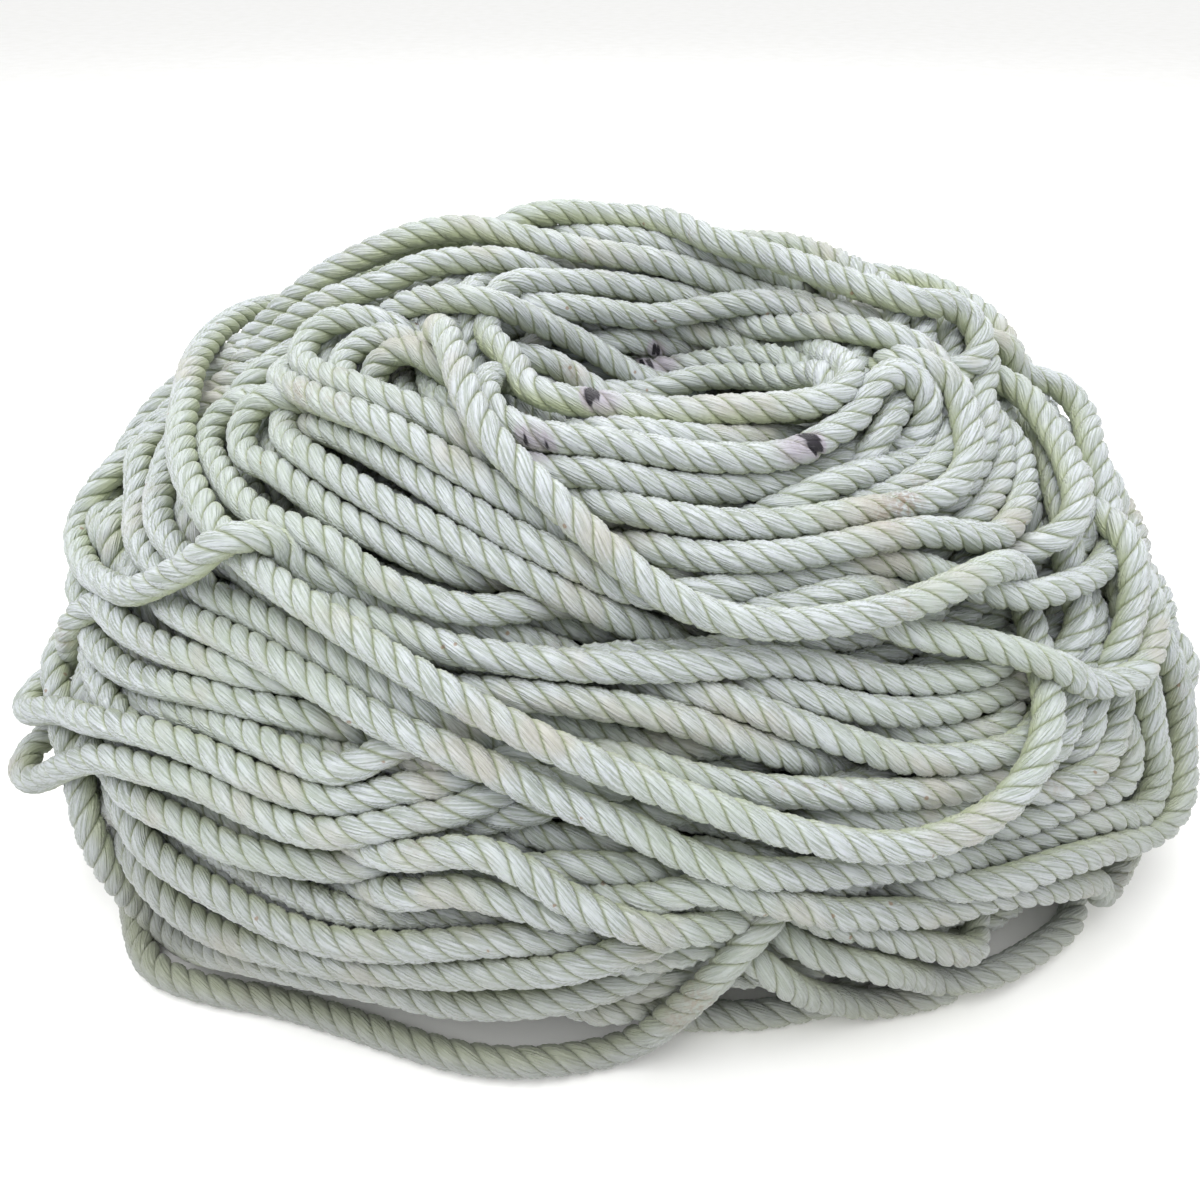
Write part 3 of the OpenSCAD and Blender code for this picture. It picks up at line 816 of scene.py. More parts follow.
@dataclass
class BackTurns:
    """Takes the ends at the sides round the back of the heap, and covers the rest of it with turns."""

    laying: Laying
    arcs: int = 21
    lowest: float = 0.03
    highest: float = 0.635
    tilt: float = 0.03
    sway: float = 0.005
    beats: tuple[float, float] = (1.5, 3.5)
    orders: tuple[float, float] = (-60.0, -1.0)
    knots: tuple[int, ...] = (146, 128, 109, 90, 71, 52, 34)
    left_start: tuple[float, float, float] = (185, 205, 195)
    right_stop: tuple[float, float, float] = (-25, -8, -15)
    lead: float = 9
    knot_gap: float = 10
    most_facing: float = 0.58
    least_back: float = 0.15
    least_aside: float = 0.12
    probe: float = 0.003
    most_slope: float = 0.003
    least_across: float = 1e-3

    def side_end(self, strings: list[String], k: int, at_start: bool) -> Optional[SideEnd]:
        """Tells whether a string's end goes on round the back.

        Args:
            strings: The strings of stretches.
            k: The string's number.
            at_start: Which of its ends is meant.

        Returns:
            The end, with the climb gained by each degree towards the back, or None where it stays at
            the front.
        """
        last = strings[k][0].turned() if at_start else strings[k][-1]
        point, head = last.points[-1], last.heading(False)
        in_front = last.facing[-1] > self.most_facing or head[1] < self.least_back
        if in_front or abs(point[0]) < self.least_aside:
            return None
        skin, surface = self.laying.skin, self.laying.mound.surface
        nearest = int(np.argmin(((skin.points - point) ** 2).sum(1)))
        az, climb = skin.az[nearest], skin.climb[nearest]
        across = (surface(az + 1, climb) - surface(az - 1, climb)) / 2
        upward = surface(az, climb + self.probe) - surface(az, climb)
        a = head @ unit(across) / np.linalg.norm(across)
        b = head @ unit(upward)
        slope = float(np.clip(b / max(abs(a), self.least_across), -self.most_slope, self.most_slope))
        return SideEnd(bool(point[0] < 0), float(az), float(climb), slope, (k, at_start))

    def add(self, strings: list[String], rng: np.random.Generator) -> list[String]:
        """Adds the turns round the back.

        Args:
            strings: The strings of shown passes.
            rng: The source of the turns' waver.

        Returns:
            The strings, joined by the turns.
        """
        ends = [self.side_end(strings, k, start) for k in range(len(strings)) for start in (True, False)]
        ends = sorted([e for e in ends if e], key=lambda e: e.climb)
        left: list[Optional[SideEnd]] = [e for e in ends if e.left]
        right: list[Optional[SideEnd]] = [e for e in ends if not e.left]
        log.info("ends that go round the back: %d at the left, %d at the right", len(left), len(right))
        for fewer, more in ((left, right), (right, left)):
            while len(fewer) < len(more):
                fewer.insert(int(rng.integers(0, len(fewer) + 1)), None)
        pairs = list(zip(left, right))
        while len(pairs) < self.arcs:
            pairs.insert(int(rng.integers(0, len(pairs) + 1)), (None, None))
        middles = self.laying.mound.full_climb * np.linspace(self.lowest, self.highest, len(pairs))
        joins: dict[tuple[int, bool], tuple[int, bool]] = {}
        added = []
        for rank, ((a, b), middle) in enumerate(zip(pairs, middles)):
            number = len(strings) + len(added)
            added.append([self.arc(a, b, middle, rank, len(pairs), rng)])
            if a:
                joins[a.key] = (number, True)
            if b:
                joins[b.key] = (number, False)
        return self.walked(strings + added, joins)

    def arc(
        self,
        a: Optional[SideEnd],
        b: Optional[SideEnd],
        middle: float,
        rank: int,
        count: int,
        rng: np.random.Generator,
    ) -> Stretch:
        """Lays one turn round the back.

        Args:
            a: The end that it starts from at the left, if any.
            b: The end that it goes on in at the right, if any.
            middle: Its climb at the back.
            rank: Its place among the turns from the lowest up.
            count: How many turns there are.
            rng: The source of its waver.

        Returns:
            The turn.
        """
        phase, beat = rng.uniform(0, 2 * math.pi), rng.uniform(*self.beats)

        def swayed(az: float) -> float:
            """Gives the turn's climb in a direction at the back."""
            tilt = self.tilt * (az - BACK_AZ) / 90 * rank / count
            return float(max(0.0, middle + tilt + self.sway * math.sin(phase + beat * math.radians(az))))

        low, high, usual = self.left_start
        start = (a.az, a.climb) if a else (rng.uniform(low, high), swayed(usual))
        low, high, usual = self.right_stop
        stop = (b.az - 360 if b.az > 180 else b.az, b.climb) if b else (rng.uniform(low, high), swayed(usual))
        knots = [start]
        if a:
            knots.append((start[0] - self.lead, start[1] + self.lead * a.slope))
        knots += [(az, swayed(az)) for az in self.knots if az < knots[-1][0] - self.knot_gap]
        while knots[-1][0] < stop[0] + self.lead + self.knot_gap:
            knots.pop()
        if b:
            knots.append((stop[0] + self.lead, stop[1] + self.lead * b.slope))
        knots.append(stop)
        az, climb = np.array(knots).T
        order = float(rng.uniform(*self.orders))
        arc = self.laying.turns("back_arc", az, climb, np.zeros(len(az)), Kind.SHOWN, order)
        arc.trim(slice(1 if a else 0, -1 if b else None))
        return arc

    @staticmethod
    def walked(strings: list[String], joins: dict) -> list[String]:
        """Joins strings end to end, and cuts any closed ring that comes of it open.

        Args:
            strings: The strings.
            joins: The end that each end goes on in, both as a string's number and whether it is its start.

        Returns:
            The longer strings.
        """
        both = {**joins, **{v: k for k, v in joins.items()}}
        done: set[int] = set()

        def walk(k: int, from_start: bool) -> String:
            """Follows the rope from one end of a string as far as it goes."""
            line: String = []
            while k not in done:
                done.add(k)
                line += strings[k] if from_start else turned(strings[k])
                following = both.get((k, not from_start))
                if following is None:
                    break
                k, from_start = following
            return line

        result = []
        for k in range(len(strings)):
            for start in (True, False):
                if k not in done and (k, start) not in both:
                    result.append(walk(k, start))
        for k in range(len(strings)):
            if k not in done:
                result.append(walk(k, True))
        return result


@dataclass
class CoilCore:
    """The rest of the rope, in flat coils one on another inside the heap."""

    mound: Mound
    depth: float = 0.036
    top: float = 0.132
    rise: float = 1.02
    least_radius: float = 0.034
    least_reach: float = 0.03
    towards_eye: float = 0.7
    az_step: float = 3.0
    climb_steps: int = 80
    points_per_turn: int = 36
    first_az: float = 290.0
    az_between: float = 8
    ramp: float = 0.12
    ramp_share: float = 0.5
    pitches: tuple[float, float] = (0.010, 0.200)
    halvings: int = 24

    def __post_init__(self) -> None:
        """Measures how far the coils may reach in each direction, at each of their heights."""
        self.layer_rise = self.rise * ROPE.diameter
        az = np.arange(0, 360, self.az_step)
        grid = self.mound.surface(az[:, None], np.linspace(0, self.mound.full_climb, self.climb_steps)[None])
        self.middle = self.towards_eye * np.array([self.mound.eye_right, -self.mound.eye_front])
        self.layers = []
        for height in np.arange(ROPE.radius, self.top, self.layer_rise)[::-1]:
            belly = np.argmax(grid[..., 2] >= height + self.depth, axis=1)
            wall = grid[np.arange(len(az)), belly][:, :2] - self.middle
            reach = np.maximum(self.least_reach, np.linalg.norm(wall, axis=1) - self.depth)
            direction = np.degrees(np.arctan2(wall[:, 1], wall[:, 0])) % 360
            order = np.argsort(direction)
            self.layers.append((height, direction[order], reach[order]))

    def wound(self, pitch: float) -> Array:
        """Winds all the coils, from the topmost to the lowest.

        Args:
            pitch: The distance from turn to turn.

        Returns:
            Points along them.
        """
        points, az, inwards = [], self.first_az, False
        for height, directions, reach in self.layers:
            turns = max(1.0, (float(reach.mean()) - self.least_radius) / pitch)
            t = np.linspace(0, 1, int(self.points_per_turn * turns) + 2)
            a = az + 360 * turns * t
            out = np.interp(a % 360, directions, reach, period=360)
            r = self.least_radius + (out - self.least_radius) * (1 - t if inwards else t)
            lift = np.clip(self.ramp - t, 0, self.ramp) / self.ramp * self.layer_rise * self.ramp_share
            x = self.middle[0] + r * np.cos(np.radians(a))
            y = self.middle[1] + r * np.sin(np.radians(a))
            points.append(np.column_stack([x, y, height + lift]))
            az, inwards = float(a[-1]) + self.az_between, not inwards
        return np.vstack(points)

    def make(self, wanted: float) -> Stretch:
        """Winds the coils as close as a wanted length of rope takes."""
        low, high = self.pitches
        for _ in range(self.halvings):
            pitch = (low * high) ** 0.5
            if arc_lengths(self.wound(pitch))[-1] > wanted:
                low = pitch
            else:
                high = pitch
        log.info("inner coils lie %.1f mm from turn to turn", 1000 * high)
        line = evenly(self.wound(high), POINT_STEP)[0]
        return Stretch("core", line, np.tile([0.0, 0.0, 1.0], (len(line), 1)), Kind.INNER)


@dataclass
class HiddenRope:
    """The rope just under the passes: where they tuck in, what links them, and the layer below them."""

    laying: Laying
    dive_length: float = 0.050
    dive_ramp: float = 0.030
    dive_depth: float = 0.014
    dive_slope: float = 0.3
    dive_softening: int = 3
    link_depth: float = 0.019
    link_rounds: int = 2
    link_softening: int = 4
    pulls: tuple[tuple[float, float], ...] = ((0.5, 0.04), (1, 0.08), (1.4, 0.14), (2, 0.22))
    easy_bend: float = 0.026
    bend_cost: float = 12
    turns: int = 21
    points_per_turn: int = 24
    first_az: float = 280
    lowest: float = 0.02
    climb_share: float = 0.97
    level: float = -0.97

    def dive(self, string: String) -> Stretch:
        """Takes a string's last end on in its own direction and down under the passes.

        Args:
            string: The string.

        Returns:
            The stretch that follows it.
        """
        last = string[-1]
        head, out = last.heading(False), last.outward[-1]
        along = np.arange(POINT_STEP, self.dive_length, POINT_STEP)[:, None]
        share = np.clip(along / self.dive_ramp, 0, 1)
        eased = share**2 * (3 - 2 * share)
        depth = self.dive_depth * eased + self.dive_slope * np.maximum(0, along - self.dive_ramp)
        points = last.points[-1] + along * head - (depth + max(0.0, float(head @ out)) * along * eased) * out
        base, normal = self.laying.skin.near(points)
        height = dots(points - base, normal)[:, None]
        points = points - np.maximum(0, height + depth) * eased * normal
        points = self.laying.skin.within(softened(points, self.dive_softening))
        return Stretch("dive", points, np.repeat(out[None], len(points), 0), Kind.UNDER, HIDDEN_ORDER)

    def way(self, a: Stretch, b: Stretch) -> tuple[float, Array]:
        """Draws the rope inside the heap from the end of one stretch to the start of another.

        Args:
            a: The stretch before.
            b: The stretch after.

        Returns:
            A cost, its length with a surcharge for a tight bend, and its points.
        """
        best: tuple[float, Array] = (NO_WAY, np.zeros((0, 3)))
        gap = float(np.linalg.norm(b.points[0] - a.points[-1]))
        for share, more in self.pulls:
            line = hermite(a.points[-1], a.heading(False), b.points[0], -b.heading(True), share * gap + more)
            cost = arc_lengths(line)[-1] + self.bend_cost * max(0.0, self.easy_bend - tightest(line))
            if cost < best[0]:
                best = (cost, line)
        return best

    def link(self, points: Array) -> Stretch:
        """Makes a stretch of the points that link two others, with its middle kept under the outer layers."""
        skin = self.laying.skin
        for _ in range(self.link_rounds):
            base, out = skin.near(points)
            height = dots(points - base, out)
            height[[0, -1]] = -self.link_depth
            points = points - np.maximum(0, height + self.link_depth)[:, None] * out
            points = skin.within(softened(points, self.link_softening))
        points, out = evenly(points, POINT_STEP, out)
        return Stretch("link", points[1:-1], unit(out[1:-1]), Kind.INNER)

    def layer(self) -> Stretch:
        """Winds the layer that carries the shown passes, from the foot to the eye."""
        t = np.linspace(0, 1, self.turns * self.points_per_turn)
        az = self.first_az + 360 * self.turns * t
        climb = self.laying.mound.full_climb * (self.lowest + self.climb_share * t)
        return self.laying.turns("under_layer", az, climb, np.full(len(t), self.level), Kind.UNDER)


@dataclass
class HeapLayout:
    """Lays the one rope out: its shown passes, what joins them, and the turns inside the heap."""

    mound: Mound
    skin: Skin
    seed: int = 11
    taken_up: float = 2.10
    loop_over_all: float = 4
    crossing_over_all: float = 3
    hairpin_under_bend: float = 0.5
    diagonal_under_hook: float = 0.2
    back_under_hook: float = 0.4

    def lay_out(self) -> "RopeLine":
        """Lays the whole rope out from its low end to its high end, before it settles."""
        rng = np.random.default_rng(self.seed)
        laying = Laying(self.mound, self.skin)
        hidden = HiddenRope(laying)
        shown = [[laying.shown(name, px, float(rank))] for rank, (name, px) in enumerate(PASSES.items())]
        strings = BackTurns(laying).add(PassJoints(laying).joined(shown), rng)
        low, high = self.low_run(laying), self.high_run(laying)
        ready = []
        for string in strings:
            string = turned(string + [hidden.dive(string)])
            ready.append(string + [hidden.dive(string)])
        chain = turned(low)
        chain.append(hidden.dive(chain))
        shown_length = sum(s.length for string in ready for s in string)
        while ready:
            k, turn, points = self.nearest(chain[-1], ready, hidden)
            string = ready.pop(k)
            chain.append(hidden.link(points))
            chain += turned(string) if turn else string
        under = hidden.layer()
        laid = sum(s.length for s in chain + high + [under])
        core = CoilCore(self.mound).make(ROPE.length - laid - self.taken_up)
        for following in (core, under, high[0]):
            chain.append(hidden.link(hidden.way(chain[-1], following)[1]))
            chain.append(following)
        chain += high[1:]
        log.info("%.1f m of the rope shows, and %.1f m lies in the inner coils", shown_length, core.length)
        return RopeLine.of(chain)

    def low_run(self, laying: Laying) -> String:
        """Lays the loose run out of the heap, by the front loop and the left foot to the low end."""
        top = len(PASSES) + self.loop_over_all
        rise = laying.shown("front_rise", FRONT_RISE, top).points
        rise = smooth_line(rise, np.linspace(0, len(rise) - 1, len(FRONT_RISE)))
        return laying.run(rise, [("front_loop", FRONT_LOOP, top), ("foot_run", FOOT_RUN, top)])

    def high_run(self, laying: Laying) -> String:
        """Lays the loose run out of the eye, over the front and down the back to the high end."""
        climbs = np.full(len(EYE_LEAD_AZ), laying.mound.full_climb)
        eye = laying.mound.at(np.array(EYE_LEAD_AZ), climbs, np.array(EYE_LEAD_LEVEL))
        names = list(PASSES)
        bend, hook = names.index("bend"), names.index("hook")
        routes = [
            ("eye_turn", EYE_TURN, HIDDEN_ORDER),
            ("crossing_run", CROSSING_RUN, len(names) + self.crossing_over_all),
            ("right_hairpin", RIGHT_HAIRPIN, bend - self.hairpin_under_bend),
            ("long_diagonal", LONG_DIAGONAL, hook - self.diagonal_under_hook),
            ("back_run", BACK_RUN, hook - self.back_under_hook),
        ]
        return laying.run(eye, routes)

    @staticmethod
    def nearest(last: Stretch, ready: list[String], hidden: HiddenRope) -> tuple[int, bool, Array]:
        """Finds the string that the rope goes on in at the least cost.

        Args:
            last: The stretch that the rope has come to.
            ready: The strings that are left.
            hidden: What draws the way to them.

        Returns:
            The string's number, whether it is turned round, and the points of the way to it.
        """
        least, best = NO_WAY, (0, False, np.zeros((0, 3)))
        for k, string in enumerate(ready):
            for turn in (False, True):
                target = string[-1].turned() if turn else string[0]
                if np.linalg.norm(target.points[0] - last.points[-1]) > least:
                    continue
                cost, points = hidden.way(last, target)
                if cost < least:
                    least, best = cost, (k, turn, points)
        return best


@dataclass
class RopeLine:
    """The rope's middle line as one run of points, from the low end to the high end."""

    points: Array
    outward: Array
    sight: Array
    order: Array
    kind: Array
    name: Array

    @staticmethod
    def of(chain: String, least_step: float = 0.2 * POINT_STEP) -> "RopeLine":
        """Strings the stretches of a chain into one line, without points that lie on one another.

        Args:
            chain: The stretches, in order.
            least_step: How close a point may lie to the one before.

        Returns:
            The line.
        """
        sizes = [len(s.points) for s in chain]
        kinds = list(Kind)
        columns = (
            np.vstack([s.points for s in chain]),
            np.vstack([s.outward for s in chain]),
            np.vstack([np.zeros((len(s.points), 3)) if s.sight is None else s.sight for s in chain]),
            np.repeat([s.order for s in chain], sizes),
            np.repeat([kinds.index(s.kind) for s in chain], sizes),
            np.repeat([s.name for s in chain], sizes),
        )
        steps = np.linalg.norm(np.diff(columns[0], axis=0), axis=1)
        keep = np.r_[True, steps > least_step]
        return RopeLine(*[column[keep] for column in columns])

    def lies(self, *kinds: Kind) -> Array:
        """Tells which points lie in stretches of some kinds."""
        return np.isin(self.kind, [list(Kind).index(k) for k in kinds])


# ---- Settling ----


def close_pairs(points: Array, reach: float) -> tuple[Array, Array]:
    """Finds all pairs of points that are closer than a distance.

    Args:
        points: The points, one a row.
        reach: The distance.

    Returns:
        The pairs' first and second points, by number.
    """
    cell = np.floor((points - points.min(0)) / reach).astype(np.int64) + 1
    size = cell.max(0) + 2
    key = (cell[:, 0] * size[1] + cell[:, 1]) * size[2] + cell[:, 2]
    by_cell = np.argsort(key, kind="stable")
    cells, first, count = np.unique(key[by_cell], return_index=True, return_counts=True)
    lefts, rights = [], []
    for dx, dy, dz in product((-1, 0, 1), repeat=3):
        shift = (dx * size[1] + dy) * size[2] + dz
        if shift < 0:
            continue
        at = np.minimum(np.searchsorted(cells, cells + shift), len(cells) - 1)
        a = np.flatnonzero(cells[at] == cells + shift)
        b = at[a]
        many = count[a] * count[b]
        start = np.repeat(np.cumsum(many) - many, many)
        inner = np.arange(many.sum()) - start
        across = np.repeat(count[b], many)
        i = by_cell[np.repeat(first[a], many) + inner // across]
        j = by_cell[np.repeat(first[b], many) + inner % across]
        if shift == 0:
            i, j = i[i < j], j[i < j]
        near = ((points[i] - points[j]) ** 2).sum(1) < reach**2
        lefts.append(i[near])
        rights.append(j[near])
    return np.concatenate(lefts), np.concatenate(rights)


def apart_along(i: Array, j: Array, least: float = 0.030) -> Array:
    """Tells which pairs of points lie far enough from each other along the rope to be two passes."""
    return np.abs(i - j) * POINT_STEP > least


@dataclass
class Stacking:
    """Parts the passes that cross, in the order in which they lie on one another."""

    reach: float = 1.7
    over_reach: float = 0.9
    over_soft: float = 0.5
    rounds: int = 120
    pull: float = 0.985
    over_relax: float = 1.4
    rise: float = 0.4
    sink: float = 0.6
    route_give: float = 0.12
    highest: float = 1.8
    deepest: float = 3.2
    route_rise: float = 1.1
    route_sink: float = 0.25
    least_level: float = 0.2
    least_slant: float = 0.45
    ease_from: float = 0.2
    ease_over: float = 0.25

    def shifts(self, line: RopeLine) -> Array:
        """Works out how far the points move to lie over and under one another.

        Args:
            line: The rope's middle line.

        Returns:
            The shift of each point, along the line of sight where a pass is seen.
        """
        upper, lower, need = self.crossings(line)
        routes = line.lies(Kind.ROUTE)
        give = np.where(routes, self.route_give, 1.0)
        rise, sink = self.rise * give[upper], self.sink * give[lower]
        rise, sink = rise / (rise + sink), sink / (rise + sink)
        most = np.where(routes, self.route_rise, self.highest) * ROPE.diameter
        least = np.where(routes, self.route_sink, self.deepest) * -ROPE.diameter
        level = line.outward[:, 2]
        to_floor = (ROPE.radius - line.points[:, 2]) / np.maximum(level, self.least_level)
        least = np.where(level > self.least_level, np.maximum(least, np.minimum(0, to_floor)), least)
        count = len(line.points)
        lift = np.zeros(count)
        for _ in range(self.rounds):
            short = np.maximum(0, need - lift[upper] + lift[lower])
            tight = short > 0
            up, down, short = upper[tight], lower[tight], short[tight]
            move = np.bincount(up, short * rise[tight], count) - np.bincount(down, short * sink[tight], count)
            many = np.bincount(up, minlength=count) + np.bincount(down, minlength=count)
            lift = self.pull * (lift + self.over_relax * move / np.maximum(1, many))
            lift = np.clip(softened(lift[:, None], 1)[:, 0], least, most)
        slant = dots(line.sight, line.outward)
        along = line.sight / np.maximum(slant, self.least_slant)[:, None]
        ease = np.clip((slant - self.ease_from) / self.ease_over, 0, 1)[:, None]
        return lift[:, None] * (ease * along + (1 - ease) * line.outward)

    def crossings(self, line: RopeLine) -> tuple[Array, Array, Array]:
        """Finds the points that lie over one another.

        Args:
            line: The rope's middle line.

        Returns:
            The upper point and the lower point of each pair, and how far they still have to part.
        """
        stacked = line.lies(Kind.SHOWN, Kind.ROUTE) | (line.name == "dive")
        i, j = close_pairs(line.points, self.reach * ROPE.diameter)
        fit = apart_along(i, j) & stacked[i] & stacked[j] & (line.order[i] != line.order[j])
        i, j = i[fit], j[fit]
        upper = np.where(line.order[i] > line.order[j], i, j)
        lower = i + j - upper
        out = unit(line.outward[upper] + line.outward[lower])
        gap = line.points[upper] - line.points[lower]
        height = dots(gap, out)
        aside = np.linalg.norm(gap - height[:, None] * out, axis=1)
        soft = (self.over_reach * ROPE.diameter - aside) / (self.over_soft * ROPE.diameter)
        soft = np.clip(soft, 0, 1)
        need = ROPE.diameter * soft**2 * (3 - 2 * soft) - height
        fit = (soft > 0) & (need > 0)
        return upper[fit], lower[fit], need[fit]


@dataclass
class Settling:
    """Stacks the passes on one another and lets the rope find room for its own thickness."""

    touch: float = 0.97
    rounds: int = 80
    refresh: int = 10
    look_ahead: float = 1.35
    route_give: float = 0.04
    shown_give: float = 0.35
    vague_under: float = 0.5
    tie_break: float = 1e-3
    over_relax: float = 1.6
    stack_softening: int = 4
    turn_softening: int = 2
    last_softening: int = 3
    proud: float = 0.35
    held_tail: float = 0.060
    hold: float = 0.08
    aside: float = 0.45
    bend_rounds: int = 80
    bend_push: float = 0.2
    bend_spans: tuple[int, ...] = (2, 3, 5, 7)
    bend_softening: int = 4
    least_bend: float = 0.014

    def settle(self, line: RopeLine) -> Array:
        """Pushes the rope apart where it lies in itself.

        Args:
            line: The rope's middle line.

        Returns:
            The settled points.
        """
        rest = line.points
        shift = softened(Stacking().shifts(line), self.stack_softening)
        stacked = np.maximum(dots(shift, line.outward), 0)
        shown = line.lies(Kind.SHOWN)
        give = np.where(line.lies(Kind.ROUTE), self.route_give, np.where(shown, self.shown_give, 1.0))
        seen = (line.sight**2).sum(1) > 0
        touch = self.touch * ROPE.diameter
        from_end = np.minimum(np.arange(len(rest)), np.arange(len(rest))[::-1]) * POINT_STEP
        free = np.clip(from_end / self.held_tail - 1, 0, 1)[:, None]
        i = j = np.zeros(0, int)
        for turn in range(self.rounds):
            here = rest + shift
            if turn % self.refresh == 0:
                i, j = close_pairs(here, self.look_ahead * touch)
                far = apart_along(i, j)
                i, j = i[far], j[far]
            shift = softened(shift + self.parting(line, here, i, j, give), self.turn_softening)
            side = shift - dots(shift, line.sight)[:, None] * line.sight
            most = self.aside * ROPE.diameter / np.maximum(TINY, np.linalg.norm(side, axis=1))[:, None]
            kept = np.minimum(1 - self.hold, most)
            shift = np.where(seen[:, None], shift - (1 - kept) * side, shift)
            raised = dots(shift, line.outward) - stacked - self.proud * ROPE.diameter
            shift -= np.where(shown, np.maximum(raised, 0), 0)[:, None] * line.outward
            shift[:, 2] -= np.minimum(0, rest[:, 2] + shift[:, 2] - ROPE.radius)
            shift *= free
        here = rest + shift
        i, j = close_pairs(here, touch)
        far = apart_along(i, j)
        dist = np.linalg.norm(here[i[far]] - here[j[far]], axis=1) / ROPE.diameter
        for limit in (0.8, 0.5):
            log.info("%d pairs of points closer than %.1f diameters", (dist < limit).sum(), limit)
        settled = self.rounded(softened(here, self.last_softening), arc_lengths(rest))
        return rest + (settled - rest) * free

    def parting(self, line: RopeLine, here: Array, i: Array, j: Array, give: Array) -> Array:
        """Gives the moves that part the points which are too close.

        Args:
            line: The rope's middle line.
            here: Where its points are now.
            i: The first point of each pair to look at.
            j: The second point of each pair.
            give: How readily each point gives way.

        Returns:
            The move of each point.
        """
        touch = self.touch * ROPE.diameter
        gap = here[i] - here[j]
        dist = np.linalg.norm(gap, axis=1)
        tight = dist < touch
        a, b, gap, dist = i[tight], j[tight], gap[tight], dist[tight]
        upper = np.sign(line.order[a] - line.order[b] + self.tie_break)
        above = upper[:, None] * (line.outward[a] + line.outward[b]) / 2
        vague = np.clip(1 - dist / (self.vague_under * touch), 0, 1)[:, None]
        way = unit(gap / np.maximum(dist, TINY)[:, None] * (1 - vague) + vague * above)
        share = give[a] / (give[a] + give[b])
        push = (touch - dist)[:, None] * way
        count = len(here)
        move = np.zeros_like(here)
        for k in range(3):
            forth = np.bincount(a, push[:, k] * share, count)
            move[:, k] = forth - np.bincount(b, push[:, k] * (1 - share), count)
        many = np.bincount(a, minlength=count) + np.bincount(b, minlength=count)
        return self.over_relax * move / np.maximum(1, many)[:, None]

    def rounded(self, points: Array, along: Array) -> Array:
        """Opens the bends that are tighter than the rope takes.

        Args:
            points: The rope's middle line.
            along: How far along the rope each point lies.

        Returns:
            The points, with those to either side of a tight bend moved apart.
        """
        width = 2 * self.least_bend
        for _ in range(self.bend_rounds):
            move = np.zeros_like(points)
            for span in self.bend_spans:
                arc = np.minimum(along[span:] - along[:-span], math.pi * self.least_bend)
                gap = points[span:] - points[:-span]
                dist = np.linalg.norm(gap, axis=1)
                short = np.maximum(0, width * np.sin(arc / width) - dist)
                push = self.bend_push * (short / np.maximum(dist, TINY))[:, None] * gap
                move[span:] += push
                move[:-span] -= push
            points = points + softened(move, self.bend_softening)
            points[:, 2] = np.maximum(points[:, 2], ROPE.radius)
        return points


# ---- Meshes ----


def new_object(name: str, mesh: bpy.types.Mesh) -> bpy.types.Object:
    """Links a mesh to the scene as an object at the origin."""
    made = bpy.data.objects.new(name, mesh)
    bpy.context.collection.objects.link(made)
    return made


class Soil(Enum):
    """What has soiled the rope."""

    RUST = "rust"
    INK = "ink"


@dataclass(frozen=True)
class Mark:
    """A soiled place on the rope."""

    soil: Soil
    place: Array
    reach: float
    strength: float


# The soiled places in the frame, which is 1200 across: right, down, reach in millimetres, strength.
RUST_MARKS = [
    (300, 392, 11, 0.45), (335, 396, 9, 0.4), (285, 372, 8, 0.35), (572, 372, 9, 0.4), (905, 502, 7, 0.8),
    (885, 512, 9, 0.5), (918, 485, 6, 0.45), (700, 1002, 9, 0.55), (678, 1022, 8, 0.45), (1055, 785, 7, 0.4),
    (965, 962, 9, 0.35), (995, 952, 8, 0.3), (782, 787, 3, 0.5), (808, 788, 3, 0.5), (842, 787, 3, 0.5),
    (872, 788, 3, 0.45), (415, 840, 4, 0.6), (390, 846, 3, 0.5), (905, 610, 6, 0.45), (315, 634, 7, 0.35),
    (235, 372, 9, 0.3), (1000, 395, 4, 0.5), (690, 236, 3, 0.6), (760, 262, 4, 0.3), (430, 300, 12, 0.22),
    (560, 640, 5, 0.35), (860, 660, 9, 0.3), (150, 640, 9, 0.3), (60, 640, 9, 0.45), (1170, 700, 12, 0.3),
    (1120, 880, 14, 0.3), (900, 1000, 16, 0.25), (250, 1000, 12, 0.2), (640, 560, 9, 0.25),
    (1100, 960, 14, 0.3),
]
INK_MARKS = [
    (593, 390, 3.2, 1.0), (590, 398, 2.4, 1.0), (646, 363, 2.8, 1.0), (657, 351, 2.8, 1.0),
    (636, 356, 6.0, 0.24), (664, 362, 7.0, 0.22), (605, 402, 7.0, 0.18), (523, 441, 2.6, 0.7),
    (545, 447, 2.8, 0.6), (533, 444, 8.0, 0.18), (812, 440, 2.8, 1.0), (818, 450, 2.4, 1.0),
    (804, 433, 2.2, 0.9), (798, 446, 8.0, 0.2),
]


def marks_on(line: RopeLine, camera: StillCamera) -> list[Mark]:
    """Finds where on the rope the soiled places lie.

    Args:
        line: The rope's settled middle line.
        camera: The camera that sees them.

    Returns:
        The marks.
    """
    width_share, more_px, radius_share = 0.45, 2, 0.8
    px, depth = camera.project(line.points)
    reach_px = width_share * camera.focal_px * ROPE.diameter / depth + more_px
    marks = []
    for soil, places in ((Soil.RUST, RUST_MARKS), (Soil.INK, INK_MARKS)):
        for right, down, reach, strength in places:
            near = np.hypot(px[:, 0] - right, px[:, 1] - down) < reach_px
            if near.any():
                away = float(depth[near].min()) - radius_share * ROPE.radius
                ray = camera.rays(np.array([[float(right), float(down)]]))[0]
                ahead = away / float(ray @ camera.ahead)
                marks.append(Mark(soil, camera.place + ahead * ray, reach / 1000, strength))
    return marks


